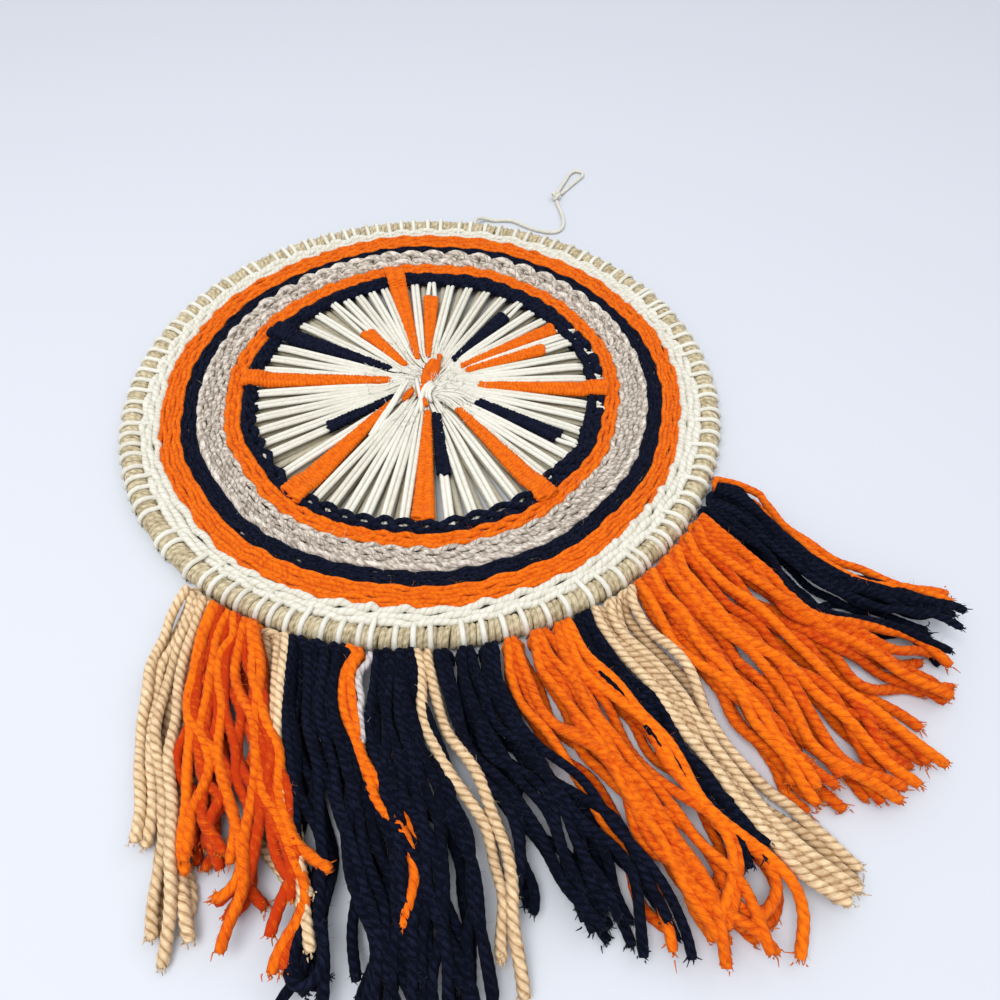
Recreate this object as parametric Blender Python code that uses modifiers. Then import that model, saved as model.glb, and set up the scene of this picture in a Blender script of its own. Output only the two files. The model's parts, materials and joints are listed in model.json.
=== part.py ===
"""A round yarn weaving in a yarn-wrapped hoop, with a knotted fringe and a hanging cord.

It lies on its back: the hoop's underside and the fringe touch z = 0, the fringe points to -Y,
and the origin is below the middle of its outline, with the hanging cord left out of that.
"""

from collections import namedtuple
from math import acos, cos, pi, radians, sin

import bmesh
import bpy
import numpy as np
from mathutils import Vector

MM = 0.001

# Driving sizes, in millimetres. R is the hoop's outer radius, wrap included.
R = 102.0
TUBE_RADIUS = 3.6
TUBE_FLATTENED = 0.4  # how far the wrap is pressed flat where it lies
GAP = 0.3  # clearance between neighbouring pieces
SEGMENTS = 48  # facets round the hoop and the weaving
TUBE_SIDES = 12

TUBE_PATH_RADIUS = R - TUBE_RADIUS
TUBE_HEIGHT = TUBE_RADIUS - TUBE_FLATTENED

# The weaving, from the back to the front.
BACK_WARP_Z = (1.2, 2.4)
BAND_Z = (3.2, 6.4)
FRONT_WARP_Z = (4.6, 5.9)
BAND_CHAMFER = 0.8
WEAVE_RADIUS = TUBE_PATH_RADIUS - TUBE_RADIUS - GAP

Band = namedtuple("Band", "name yarn inner outer top")
BANDS = (
    Band("band_cream", "cream", 0.880 * R, WEAVE_RADIUS, BAND_Z[1]),
    Band("band_orange_outer", "orange", 0.817 * R, 0.880 * R, BAND_Z[1]),
    Band("band_black_outer", "black", 0.763 * R, 0.817 * R, BAND_Z[1]),
    Band("band_taupe", "taupe", 0.679 * R, 0.763 * R, 7.4),
    Band("band_orange_inner", "orange", 0.629 * R, 0.679 * R, BAND_Z[1]),
    Band("band_black_inner", "black", 0.575 * R, 0.629 * R, 5.9),
)
FRONT_WARP_RADIUS = BANDS[-1].inner - GAP

# The hub, where every warp thread crosses: a low dome on the front warp.
HUB_BOTTOM = 2.7
HUB_TOP = 7.4
HUB_TOP_RADIUS = 8.0
HUB_RADIUS = 11.6

# Needle-woven spokes: direction in degrees from +X, where each starts and ends, and its widths.
SPOKE_THICKNESS = 1.8
SPOKE_CHAMFER = 0.5
Spoke = namedtuple("Spoke", "name yarn direction start end inner_width outer_width")
SPOKES = (
    Spoke("spoke_orange_1", "orange", 0.0, 18.0, 64.0, 2.6, 5.6),
    Spoke("spoke_orange_2", "orange", 28.0, 16.5, 46.5, 1.9, 5.2),
    Spoke("spoke_orange_3", "orange", 36.0, 16.5, 56.5, 1.9, 5.8),
    Spoke("spoke_black_1", "black", 57.5, 18.5, 47.5, 2.8, 5.4),
    Spoke("spoke_orange_4", "orange", 92.0, 15.5, 47.5, 2.4, 6.0),
    Spoke("spoke_orange_5", "orange", 105.0, 15.5, 64.0, 2.4, 7.6),
    Spoke("spoke_orange_6", "orange", 130.0, 13.5, 38.0, 2.4, 4.0),
    Spoke("spoke_black_2", "black", 155.0, 14.5, 62.0, 2.6, 8.0),
    Spoke("spoke_orange_7", "orange", 180.0, 13.0, 64.0, 2.6, 6.2),
    Spoke("spoke_black_3", "black", 217.0, 13.5, 38.5, 2.6, 5.0),
    Spoke("spoke_orange_8", "orange", 233.0, 13.5, 64.0, 2.6, 6.2),
    Spoke("spoke_orange_9", "orange", 274.0, 13.5, 58.0, 1.7, 5.0),
    Spoke("spoke_black_4", "black", 283.0, 17.0, 41.5, 2.4, 3.8),
    Spoke("spoke_orange_10", "orange", 311.4, 16.0, 64.0, 2.6, 5.4),
    Spoke("spoke_black_5", "black", 333.4, 21.0, 53.0, 3.0, 5.4),
)

# Two stitches of orange yarn that bind the hub: middle, direction, length, width and thickness.
Stitch = namedtuple("Stitch", "name x y direction length width thickness")
STITCHES = (
    Stitch("hub_stitch_upper", 0.8, 6.4, 77.0, 14.0, 6.4, 2.4),
    Stitch("hub_stitch_lower", -4.6, -5.6, 232.0, 6.6, 3.2, 1.8),
)

# The fringe. Each guide is one lock of yarn, by its place on the rim in degrees from +X and
# three places that it passes, in millimetres from the hoop's centre.
RIM_START = R + GAP + 0.1
LOCK_LENGTH = 84.0  # from knot to tip, about the same all round
Guide = namedtuple("Guide", "rim mid_x mid_y low_x low_y tip_x tip_y")
GUIDES = (
    Guide(-125.0, -62, -113, -58, -133, -54, -155),
    Guide(-119.5, -51, -114, -46, -138, -38, -175),
    Guide(-111.0, -32, -118, -23, -144, -12, -176),
    Guide(-105.0, -25, -122, -14, -149, -4, -183),
    Guide(-97.0, -7, -127, 5, -157, 14, -187),
    Guide(-92.5, 4, -130, 15, -159, 24, -187),
    Guide(-87.0, 17, -129, 30, -155, 38, -184),
    Guide(-81.0, 28, -126, 42, -150, 54, -175),
    Guide(-74.0, 45, -126, 62, -147, 76, -170),
    Guide(-62.4, 64, -117, 80, -138, 98, -160),
    Guide(-51.0, 80, -106, 97, -128, 116, -152),
    Guide(-46.0, 87, -100, 107, -122, 126, -144),
    Guide(-39.5, 100, -90, 118, -109, 138, -129),
    Guide(-32.5, 110, -78, 130, -94, 151, -111),
    Guide(-27.8, 114, -68, 134, -84, 156, -99),
    Guide(-21.0, 117, -58, 137, -72, 160, -86),
)

# One comb for each run of one colour: its stretch of the rim in degrees, its number of fingers,
# how much of the guides' length it reaches, and its thickness.
Comb = namedtuple("Comb", "name yarn first last fingers reach thickness")
COMBS = (
    Comb("fringe_tan_1", "tan", -125.0, -119.2, 2, 1.0, 3.6),
    Comb("fringe_orange_1", "orange", -119.2, -110.4, 3, 1.0, 4.2),
    Comb("fringe_tan_2", "tan", -110.4, -105.6, 1, 0.94, 3.6),
    Comb("fringe_black_1", "black", -105.6, -96.8, 3, 1.0, 4.6),
    Comb("fringe_orange_2", "orange", -96.8, -94.6, 1, 0.96, 3.6),
    Comb("fringe_white", "white", -94.4, -93.0, 1, 0.42, 3.2),
    Comb("fringe_black_2", "black", -92.8, -86.8, 2, 1.0, 4.6),
    Comb("fringe_tan_3", "tan", -86.8, -84.4, 1, 0.97, 3.6),
    Comb("fringe_black_3", "black", -84.4, -74.2, 3, 1.0, 4.2),
    Comb("fringe_orange_3", "orange", -74.2, -62.4, 4, 1.0, 4.2),
    Comb("fringe_black_4", "black", -62.4, -59.4, 1, 0.96, 4.0),
    Comb("fringe_tan_4", "tan", -59.4, -50.8, 3, 1.0, 3.8),
    Comb("fringe_orange_4", "orange", -50.8, -32.0, 6, 1.0, 4.6),
    Comb("fringe_black_5", "black", -32.0, -24.2, 2, 1.0, 4.4),
    Comb("fringe_orange_5", "orange", -24.2, -21.0, 1, 0.98, 3.6),
)
COMB_SPLIT = 0.34  # where the fingers part, as a share of their length
COMB_START = 0.02  # where a comb's outer sides begin, just past its knots
COMB_SPREAD = 0.4  # how much wider a degree of rim is at the tips than at the knots
COMB_TIP_BULGE = 0.35  # how far a fingertip is rounded out, as a share of its last stretch
COMB_STATIONS = 6
COMB_SIDE_GAP = 0.18  # degrees of rim left free on each side at the knots
COMB_TIP_GAP = 0.62  # and at the tips, or less on a narrow finger
NARROW_SHARE = 0.2  # the most of a finger's width that the gap or the inset takes on each side
COMB_INSET = 0.9  # how far its top is drawn in all round
COMB_SHOULDER = 0.55  # the height up to which its sides are upright, as a share of its thickness
KNOT_STEP = 1.5  # degrees of rim between the points of a comb's knotted edge

# The hanging cord: tied round the hoop at one end, with a small knotted loop at the other.
CORD_RADIUS = 0.8
CORD_Z = CORD_RADIUS + 0.05
CORD_EXIT = (12.45, 101.45, 4.0)
CORD_ROUTE = (
    CORD_EXIT,
    (12.9, 105.2, 3.9),
    (14.3, 108.6, 2.7),
    (17.2, 110.6, 1.4),
    (20.8, 110.2, CORD_Z),
    (25.0, 110.6, CORD_Z),
    (29.0, 110.3, CORD_Z),
    (32.6, 108.0, CORD_Z),
    (36.6, 105.3, CORD_Z),
    (40.6, 103.5, CORD_Z),
    (44.6, 102.5, CORD_Z),
    (48.0, 103.0, CORD_Z),
    (50.4, 105.4, CORD_Z),
    (51.4, 109.2, CORD_Z),
    (51.3, 113.8, CORD_Z),
    (50.5, 119.0, CORD_Z),
    (49.4, 124.0, CORD_Z),
    (48.8, 126.6, CORD_Z + 0.6),
)
KNOT_CENTRE = (48.5, 129.9, 2.3)
KNOT_RADIUS = 2.7
LOOP_ROUTE = (
    (48.6, 133.2, CORD_Z + 0.6),
    (50.0, 136.6, CORD_Z),
    (51.8, 141.6, CORD_Z),
    (53.8, 147.0, CORD_Z),
    (55.6, 151.6, CORD_Z),
    (58.2, 154.3, CORD_Z),
    (61.2, 153.4, CORD_Z),
    (61.4, 150.2, CORD_Z),
    (58.4, 145.4, CORD_Z),
    (55.2, 140.4, CORD_Z),
    (52.4, 136.0, CORD_Z),
    (50.9, 132.9, CORD_Z + 0.6),
)
CORD_STEP = 2.4  # length of cord between the points of its tube

YARNS = {  # colour, in linear light, and roughness
    "tan": ((0.56, 0.40, 0.23, 1.0), 0.90),
    "cream": ((0.84, 0.81, 0.72, 1.0), 0.85),
    "white": ((0.70, 0.68, 0.68, 1.0), 0.90),
    "orange": ((0.94, 0.17, 0.01, 1.0), 0.90),
    "black": ((0.008, 0.010, 0.022, 1.0), 0.95),
    "taupe": ((0.52, 0.45, 0.40, 1.0), 0.90),
}


def clear_scene():
    for item in list(bpy.data.objects):
        bpy.data.objects.remove(item, do_unlink=True)


def yarn_material(yarn):
    """The matt finish of one colour of yarn, made once and shared."""
    name = "yarn_" + yarn
    material = bpy.data.materials.get(name)
    if material is None:
        colour, roughness = YARNS[yarn]
        material = bpy.data.materials.new(name)
        material.use_nodes = True
        shader = material.node_tree.nodes["Principled BSDF"]
        shader.inputs["Base Color"].default_value = colour
        shader.inputs["Roughness"].default_value = roughness
        shader.inputs["Metallic"].default_value = 0.0
    return material


def add_object(name, data, yarn, collection, place):
    piece = bpy.data.objects.new(name, data)
    data.materials.append(yarn_material(yarn))
    collection.objects.link(piece)
    piece.parent = place
    return piece


def smooth_round(mesh, angle=50):
    mesh.shade_smooth()
    mesh.set_sharp_from_angle(angle=radians(angle))


def between(a, b, c, d, t):
    """The point at share t from b to c on a smooth curve through a, b, c and d."""
    return 0.5 * (2 * b + (c - a) * t + (2 * a - 5 * b + 4 * c - d) * t**2 + (3 * b - a - 3 * c + d) * t**3)


def turned(name, profile, yarn, collection, place, closed):
    """A solid of revolution about Z: (radius, height) pairs down its outer side, then back up."""
    mesh = bpy.data.meshes.new(name)
    points = [(radius * MM, 0.0, height * MM) for radius, height in profile]
    edges = [(i, i + 1) for i in range(len(points) - 1)]
    if closed:
        edges.append((len(points) - 1, 0))
    mesh.from_pydata(points, edges, [])
    piece = add_object(name, mesh, yarn, collection, place)
    screw = piece.modifiers.new("turn", "SCREW")
    screw.axis = "Z"
    screw.angle = 2 * pi
    screw.steps = SEGMENTS
    screw.render_steps = SEGMENTS
    screw.use_merge_vertices = True
    screw.merge_threshold = 0.00001
    screw.use_smooth_shade = True
    return piece


def make_hoop(collection, place):
    """The wrapped hoop: a round tube, flat underneath where its wrap is pressed by its weight."""
    half_flat = acos(TUBE_HEIGHT / TUBE_RADIUS)
    angles = np.linspace(1.5 * pi - half_flat, -0.5 * pi + half_flat, TUBE_SIDES)
    profile = [(TUBE_PATH_RADIUS + TUBE_RADIUS * cos(a), TUBE_HEIGHT + TUBE_RADIUS * sin(a)) for a in angles]
    return turned("hoop_wrapped", profile, "tan", collection, place, closed=True)


def band_profile(inner, outer, low, top, chamfer):
    """A flat ring's section with its front edges eased."""
    return (
        (outer - chamfer, top),
        (outer, top - chamfer),
        (outer, low),
        (inner, low),
        (inner, top - chamfer),
        (inner + chamfer, top),
    )


def make_bands(collection, place):
    for index, band in enumerate(BANDS):
        outer = band.outer if index == 0 else band.outer - GAP
        profile = band_profile(band.inner, outer, BAND_Z[0], band.top, BAND_CHAMFER)
        turned(band.name, profile, band.yarn, collection, place, closed=True)


def make_warp(collection, place):
    """The two layers of cream warp, drawn from the hoop to the hub."""
    low, top = FRONT_WARP_Z
    front = (
        (0.0, HUB_TOP),
        (HUB_TOP_RADIUS, HUB_TOP - 0.5),
        (HUB_RADIUS, top),
        (FRONT_WARP_RADIUS, top),
        (FRONT_WARP_RADIUS, low),
        (HUB_RADIUS, low),
        (HUB_TOP_RADIUS, HUB_BOTTOM),
        (0.0, HUB_BOTTOM),
    )
    turned("warp_front", front, "cream", collection, place, closed=False)
    back_low, back_top = BACK_WARP_Z
    back = (
        (0.0, back_top),
        (WEAVE_RADIUS, back_top),
        (WEAVE_RADIUS, back_low),
        (0.0, back_low),
    )
    turned("warp_back", back, "cream", collection, place, closed=False)


def make_spoke(row, collection, place):
    """One needle-woven spoke: a box that widens outwards, lying on the front warp."""
    bpy.ops.mesh.primitive_cube_add(size=1.0)
    piece = bpy.context.active_object
    piece.name = row.name
    piece.data.name = row.name
    for owner in list(piece.users_collection):
        owner.objects.unlink(piece)
    collection.objects.link(piece)
    piece.data.materials.append(yarn_material(row.yarn))
    low = FRONT_WARP_Z[1] + GAP
    for vertex in piece.data.vertices:
        outer_end = vertex.co.x > 0
        width = row.outer_width if outer_end else row.inner_width
        along = row.end if outer_end else row.start
        height = low + (SPOKE_THICKNESS if vertex.co.z > 0 else 0.0)
        vertex.co = Vector((along, vertex.co.y * width, height)) * MM
    piece.rotation_euler.z = radians(row.direction)
    piece.parent = place
    bevel = piece.modifiers.new("eased edges", "BEVEL")
    bevel.width = SPOKE_CHAMFER * MM
    bevel.segments = 1
    bevel.limit_method = "ANGLE"
    smooth_round(piece.data)


def make_stitches(collection, place):
    """Oval pads of yarn over the hub, flat underneath."""
    for row in STITCHES:
        mesh = bpy.data.meshes.new(row.name)
        form = bmesh.new()
        bmesh.ops.create_uvsphere(form, u_segments=16, v_segments=8, radius=1.0)
        for vertex in form.verts:
            height = max(vertex.co.z, 0.0) * row.thickness
            vertex.co = Vector((vertex.co.x * row.length / 2, vertex.co.y * row.width / 2, height)) * MM
        lower = [face for face in form.faces if all(vertex.co.z <= 0 for vertex in face.verts)]
        bmesh.ops.delete(form, geom=lower, context="FACES")
        rim = [edge for edge in form.edges if edge.is_boundary]
        bmesh.ops.contextual_create(form, geom=rim)
        bmesh.ops.recalc_face_normals(form, faces=form.faces)
        form.to_mesh(mesh)
        form.free()
        smooth_round(mesh)
        piece = add_object(row.name, mesh, "orange", collection, place)
        piece.location = Vector((row.x, row.y, HUB_TOP + GAP)) * MM
        piece.rotation_euler.z = radians(row.direction)


def guide_points(rim):
    """Where a lock that leaves the rim at this angle starts and the three places it passes."""
    angles = [guide.rim for guide in GUIDES]
    start = (RIM_START * cos(radians(rim)), RIM_START * sin(radians(rim)))
    later = []
    for x_name, y_name in (("mid_x", "mid_y"), ("low_x", "low_y"), ("tip_x", "tip_y")):
        x = np.interp(rim, angles, [getattr(guide, x_name) for guide in GUIDES])
        y = np.interp(rim, angles, [getattr(guide, y_name) for guide in GUIDES])
        later.append((x, y))
    return [np.array(point, float) for point in (start, *later)]


def lock_point(rim, share):
    """A point on a lock: share runs from 0 at the knot to 1 at the tip, on a smooth curve."""
    start, mid, low, tip = guide_points(rim)
    outward = start / np.linalg.norm(start)
    before = mid - outward * 2 * np.linalg.norm(mid - start)
    after = 2 * tip - low
    chain = (before, start, mid, low, tip, after)
    place = min(max(share, 0.0), 0.99999) * 3
    index = int(place)
    return between(*chain[index : index + 4], place - index)


def comb_outline(comb, inset):
    """The comb seen from above, anticlockwise from its first knot, drawn in by inset mm."""
    width = (comb.last - comb.first) / comb.fingers
    scale_rim = pi * R / 180
    narrow = NARROW_SHARE * width
    tip_gap = min(COMB_TIP_GAP, narrow)
    outline = []

    def side(rim, sign, shares):
        for share in shares:
            mm_per_degree = scale_rim * (1 + COMB_SPREAD * share)
            gap = COMB_SIDE_GAP + (tip_gap - COMB_SIDE_GAP) * share
            drawn_in = min(inset / mm_per_degree, narrow)
            outline.append(lock_point(rim + sign * (gap + drawn_in), share * comb.reach))

    inset_share = inset / LOCK_LENGTH
    begin = COMB_START + inset_share
    split = COMB_SPLIT + inset_share
    end = 1.0 - inset_share
    for finger in range(comb.fingers):
        left = comb.first + finger * width
        right = left + width
        middle = (left + right) / 2
        side(left, +1, np.linspace(begin if finger == 0 else split, end, COMB_STATIONS))
        tip = lock_point(middle, end * comb.reach)
        last_stretch = tip - lock_point(middle, (end - COMB_START * 3) * comb.reach)
        outline.append(tip + last_stretch * COMB_TIP_BULGE)
        side(right, -1, np.linspace(end, begin if finger == comb.fingers - 1 else split, COMB_STATIONS))
    free = COMB_SIDE_GAP + min(inset / scale_rim, narrow)
    steps = max(2, round((comb.last - comb.first) / KNOT_STEP) + 1)
    for rim in np.linspace(comb.last - free, comb.first + free, steps):
        radius = RIM_START + inset
        outline.append(np.array((radius * cos(radians(rim)), radius * sin(radians(rim)))))
    return outline


def make_fringe(collection, place):
    """Each comb is lofted from its outline on the surface to a slightly smaller one on top."""
    for comb in COMBS:
        foot = comb_outline(comb, 0.0)
        crown = comb_outline(comb, COMB_INSET)
        form = bmesh.new()
        rings = []
        for outline, height in ((foot, 0.0), (foot, comb.thickness * COMB_SHOULDER), (crown, comb.thickness)):
            rings.append([form.verts.new((x * MM, y * MM, height * MM)) for x, y in outline])
        count = len(foot)
        for lower, upper in zip(rings, rings[1:]):
            for i in range(count):
                j = (i + 1) % count
                form.faces.new((lower[i], lower[j], upper[j], upper[i]))
        form.faces.new(rings[0][::-1])
        form.faces.new(rings[-1])
        bmesh.ops.recalc_face_normals(form, faces=form.faces)
        mesh = bpy.data.meshes.new(comb.name)
        form.to_mesh(mesh)
        form.free()
        add_object(comb.name, mesh, comb.yarn, collection, place)


def smooth_route(route, step):
    """Points about one step apart on a smooth curve through the route's own points."""
    chain = [np.array(point, float) for point in route]
    chain = [2 * chain[0] - chain[1], *chain, 2 * chain[-1] - chain[-2]]
    fine = []
    for a, b, c, d in zip(chain, chain[1:], chain[2:], chain[3:]):
        fine += [between(a, b, c, d, t) for t in np.linspace(0.0, 1.0, 12, endpoint=False)]
    fine.append(chain[-2])
    fine = np.array(fine)
    along = np.concatenate([[0.0], np.cumsum(np.linalg.norm(np.diff(fine, axis=0), axis=1))])
    wanted = np.linspace(0.0, along[-1], max(4, round(along[-1] / step) + 1))
    return np.stack([np.interp(wanted, along, fine[:, axis]) for axis in range(3)], axis=1)


def tube(name, route, collection, place):
    curve = bpy.data.curves.new(name, "CURVE")
    curve.dimensions = "3D"
    points = smooth_route(route, CORD_STEP)
    spline = curve.splines.new("POLY")
    spline.points.add(len(points) - 1)
    for target, point in zip(spline.points, points):
        target.co = (*(point * MM), 1.0)
    curve.bevel_depth = CORD_RADIUS * MM
    curve.bevel_resolution = 2
    curve.use_fill_caps = True
    add_object(name, curve, "cream", collection, place)


def make_hanger(collection, place):
    tube("hanging_cord", CORD_ROUTE, collection, place)
    tube("hanging_loop", LOOP_ROUTE, collection, place)
    mesh = bpy.data.meshes.new("hanging_knot")
    form = bmesh.new()
    bmesh.ops.create_icosphere(form, subdivisions=2, radius=KNOT_RADIUS * MM)
    for vertex in form.verts:
        vertex.co.z = max(vertex.co.z, -(KNOT_CENTRE[2] - 0.05) * MM)
    form.to_mesh(mesh)
    form.free()
    smooth_round(mesh)
    piece = add_object("hanging_knot", mesh, "cream", collection, place)
    piece.location = Vector(KNOT_CENTRE) * MM


def centre_on_outline(collection, place):
    """Moves the whole part so that the origin is below the middle of its outline."""
    bpy.context.view_layer.update()
    graph = bpy.context.evaluated_depsgraph_get()
    corners = []
    for piece in collection.objects:
        if piece.type == "EMPTY" or piece.name.startswith("hanging_"):
            continue
        evaluated = piece.evaluated_get(graph)
        corners += [evaluated.matrix_world @ vertex.co for vertex in evaluated.data.vertices]
    for axis in (0, 1):
        values = [corner[axis] for corner in corners]
        place.location[axis] = -(min(values) + max(values)) / 2


def main():
    clear_scene()
    collection = bpy.data.collections.new("yarn_wall_hanging")
    bpy.context.scene.collection.children.link(collection)
    place = bpy.data.objects.new("hoop_centre", None)
    collection.objects.link(place)
    make_hoop(collection, place)
    make_bands(collection, place)
    make_warp(collection, place)
    for row in SPOKES:
        make_spoke(row, collection, place)
    make_stitches(collection, place)
    make_fringe(collection, place)
    make_hanger(collection, place)
    centre_on_outline(collection, place)


main()
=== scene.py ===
"""The looks of a round yarn weaving in a wrapped hoop, with a knotted fringe and a hanging cord.

Every yarn is laid by itself, most of them with their twisted plies: the hoop's wrap, the cotton
warp, the rows of the weaving, the needle-woven spokes, the stitches at the hub, the fringe and its
knots, and the hanging cord with its knot and its loop.
Lengths are in millimetres from the hoop's centre unless a name or a comment says otherwise.
"""

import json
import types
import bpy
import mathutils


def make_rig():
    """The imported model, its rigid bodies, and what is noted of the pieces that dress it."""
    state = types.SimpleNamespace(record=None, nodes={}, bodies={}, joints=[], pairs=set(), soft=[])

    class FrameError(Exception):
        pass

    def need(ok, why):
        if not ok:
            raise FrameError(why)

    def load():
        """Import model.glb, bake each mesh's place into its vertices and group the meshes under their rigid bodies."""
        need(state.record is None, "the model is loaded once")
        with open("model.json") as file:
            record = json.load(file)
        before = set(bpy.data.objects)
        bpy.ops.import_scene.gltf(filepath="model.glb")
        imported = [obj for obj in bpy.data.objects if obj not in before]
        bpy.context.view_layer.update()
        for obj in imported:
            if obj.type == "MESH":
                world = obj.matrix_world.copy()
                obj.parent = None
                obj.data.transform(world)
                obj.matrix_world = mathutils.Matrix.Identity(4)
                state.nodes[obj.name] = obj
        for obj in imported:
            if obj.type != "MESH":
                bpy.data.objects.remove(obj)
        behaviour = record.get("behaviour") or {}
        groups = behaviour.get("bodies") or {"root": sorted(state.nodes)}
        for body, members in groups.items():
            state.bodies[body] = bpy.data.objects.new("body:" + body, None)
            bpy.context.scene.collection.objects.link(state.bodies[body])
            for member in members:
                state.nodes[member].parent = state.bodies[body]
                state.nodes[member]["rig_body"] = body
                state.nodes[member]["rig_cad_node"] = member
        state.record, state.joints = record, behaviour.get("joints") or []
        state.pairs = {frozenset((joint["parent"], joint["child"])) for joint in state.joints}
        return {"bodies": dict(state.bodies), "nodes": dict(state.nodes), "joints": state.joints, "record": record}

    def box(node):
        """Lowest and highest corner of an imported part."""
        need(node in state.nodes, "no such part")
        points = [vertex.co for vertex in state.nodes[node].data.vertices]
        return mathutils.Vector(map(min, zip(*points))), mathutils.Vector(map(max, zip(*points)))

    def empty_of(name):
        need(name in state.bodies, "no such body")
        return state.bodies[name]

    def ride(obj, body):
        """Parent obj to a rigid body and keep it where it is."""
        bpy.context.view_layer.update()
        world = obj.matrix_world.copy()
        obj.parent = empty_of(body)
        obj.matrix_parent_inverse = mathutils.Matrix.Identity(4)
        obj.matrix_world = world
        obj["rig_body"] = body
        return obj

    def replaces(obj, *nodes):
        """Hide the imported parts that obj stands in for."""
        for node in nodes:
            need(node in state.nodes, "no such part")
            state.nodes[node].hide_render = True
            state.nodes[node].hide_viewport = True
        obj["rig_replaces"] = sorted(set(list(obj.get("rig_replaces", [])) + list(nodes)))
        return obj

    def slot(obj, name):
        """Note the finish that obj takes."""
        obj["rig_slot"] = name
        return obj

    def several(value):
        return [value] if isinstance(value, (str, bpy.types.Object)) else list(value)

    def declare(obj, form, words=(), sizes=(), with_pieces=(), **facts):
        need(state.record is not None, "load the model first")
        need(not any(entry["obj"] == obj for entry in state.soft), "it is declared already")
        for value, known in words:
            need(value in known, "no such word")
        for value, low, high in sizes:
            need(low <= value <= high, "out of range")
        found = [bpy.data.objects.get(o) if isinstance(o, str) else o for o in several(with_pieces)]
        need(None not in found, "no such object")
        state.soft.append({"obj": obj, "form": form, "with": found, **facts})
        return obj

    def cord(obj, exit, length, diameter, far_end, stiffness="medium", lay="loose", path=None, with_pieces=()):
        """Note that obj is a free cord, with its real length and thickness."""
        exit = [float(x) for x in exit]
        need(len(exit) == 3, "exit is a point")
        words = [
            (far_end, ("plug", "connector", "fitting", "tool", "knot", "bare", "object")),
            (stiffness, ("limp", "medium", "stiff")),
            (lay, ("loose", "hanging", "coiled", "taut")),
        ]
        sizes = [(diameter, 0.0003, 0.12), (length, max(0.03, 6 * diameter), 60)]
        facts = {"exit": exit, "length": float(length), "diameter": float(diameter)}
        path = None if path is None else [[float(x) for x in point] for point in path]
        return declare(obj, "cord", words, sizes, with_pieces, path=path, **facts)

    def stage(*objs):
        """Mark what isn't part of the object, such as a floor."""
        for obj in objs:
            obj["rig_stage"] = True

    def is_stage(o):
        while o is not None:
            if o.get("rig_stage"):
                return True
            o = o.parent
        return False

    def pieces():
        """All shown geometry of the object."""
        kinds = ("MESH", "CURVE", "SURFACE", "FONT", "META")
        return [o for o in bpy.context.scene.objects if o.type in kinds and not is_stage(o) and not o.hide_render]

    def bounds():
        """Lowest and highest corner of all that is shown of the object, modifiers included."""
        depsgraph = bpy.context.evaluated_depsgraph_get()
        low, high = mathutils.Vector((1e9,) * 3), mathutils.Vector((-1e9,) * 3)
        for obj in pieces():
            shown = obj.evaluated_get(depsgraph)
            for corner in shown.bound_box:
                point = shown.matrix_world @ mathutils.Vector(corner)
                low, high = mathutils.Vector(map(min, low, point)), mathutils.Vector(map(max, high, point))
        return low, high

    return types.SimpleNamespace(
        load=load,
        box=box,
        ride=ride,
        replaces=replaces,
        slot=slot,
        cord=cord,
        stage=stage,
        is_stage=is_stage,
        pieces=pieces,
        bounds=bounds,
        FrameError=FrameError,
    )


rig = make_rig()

bl_info = {
    "name": "Hoop weaving maker",
    "version": (1, 0, 0),
    "blender": (4, 5, 0),
    "location": "3D View > Sidebar > Hoop weaving",
    "description": "Makes the yarns of a round weaving in a hoop, its fringe and its hanging cord",
    "category": "Add Mesh",
}

import json

from collections import namedtuple
from math import cos, pi, radians, sin

import bpy
import numpy as np
from bpy.props import FloatProperty, FloatVectorProperty, IntProperty, PointerProperty
from bpy.types import Operator, Panel, PropertyGroup
from mathutils import Matrix, Vector

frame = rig.load()
CAD_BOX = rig.bounds()

MM = 0.001
UP = np.array((0.0, 0.0, 1.0))

# The hoop, from the frame: its outline gives the centre and the tube's size.
HOOP_LOW, HOOP_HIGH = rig.box("hoop_wrapped")
HUB = np.array(((HOOP_LOW.x + HOOP_HIGH.x) / 2, (HOOP_LOW.y + HOOP_HIGH.y) / 2, 0.0)) / MM
R = (HOOP_HIGH.x - HOOP_LOW.x) / 2 / MM
TUBE_RADIUS = 3.6
TUBE_PATH = R - TUBE_RADIUS
TUBE_HEIGHT = HOOP_HIGH.z / MM - TUBE_RADIUS
WRAP_LEAN = 9.0  # how far the turns of its wrap lean, in degrees
WRAP_SHIFT = 50.0  # moves a turn's streaks along by its shade, so that the turns differ

# Where one colour of the weaving meets the next, as shares of R at four places round the ring.
Edge = namedtuple("Edge", "name right top left bottom")
EDGES = {
    edge.name: edge
    for edge in (
        Edge("tube", 0.934, 0.934, 0.934, 0.934),
        Edge("cream", 0.873, 0.886, 0.879, 0.882),
        Edge("orange_outer", 0.810, 0.812, 0.810, 0.810),
        Edge("black_outer", 0.757, 0.758, 0.757, 0.760),
        Edge("taupe", 0.664, 0.683, 0.672, 0.680),
        Edge("orange_inner", 0.617, 0.628, 0.619, 0.631),
        Edge("black_inner", 0.558, 0.574, 0.577, 0.600),
    )
}

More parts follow.
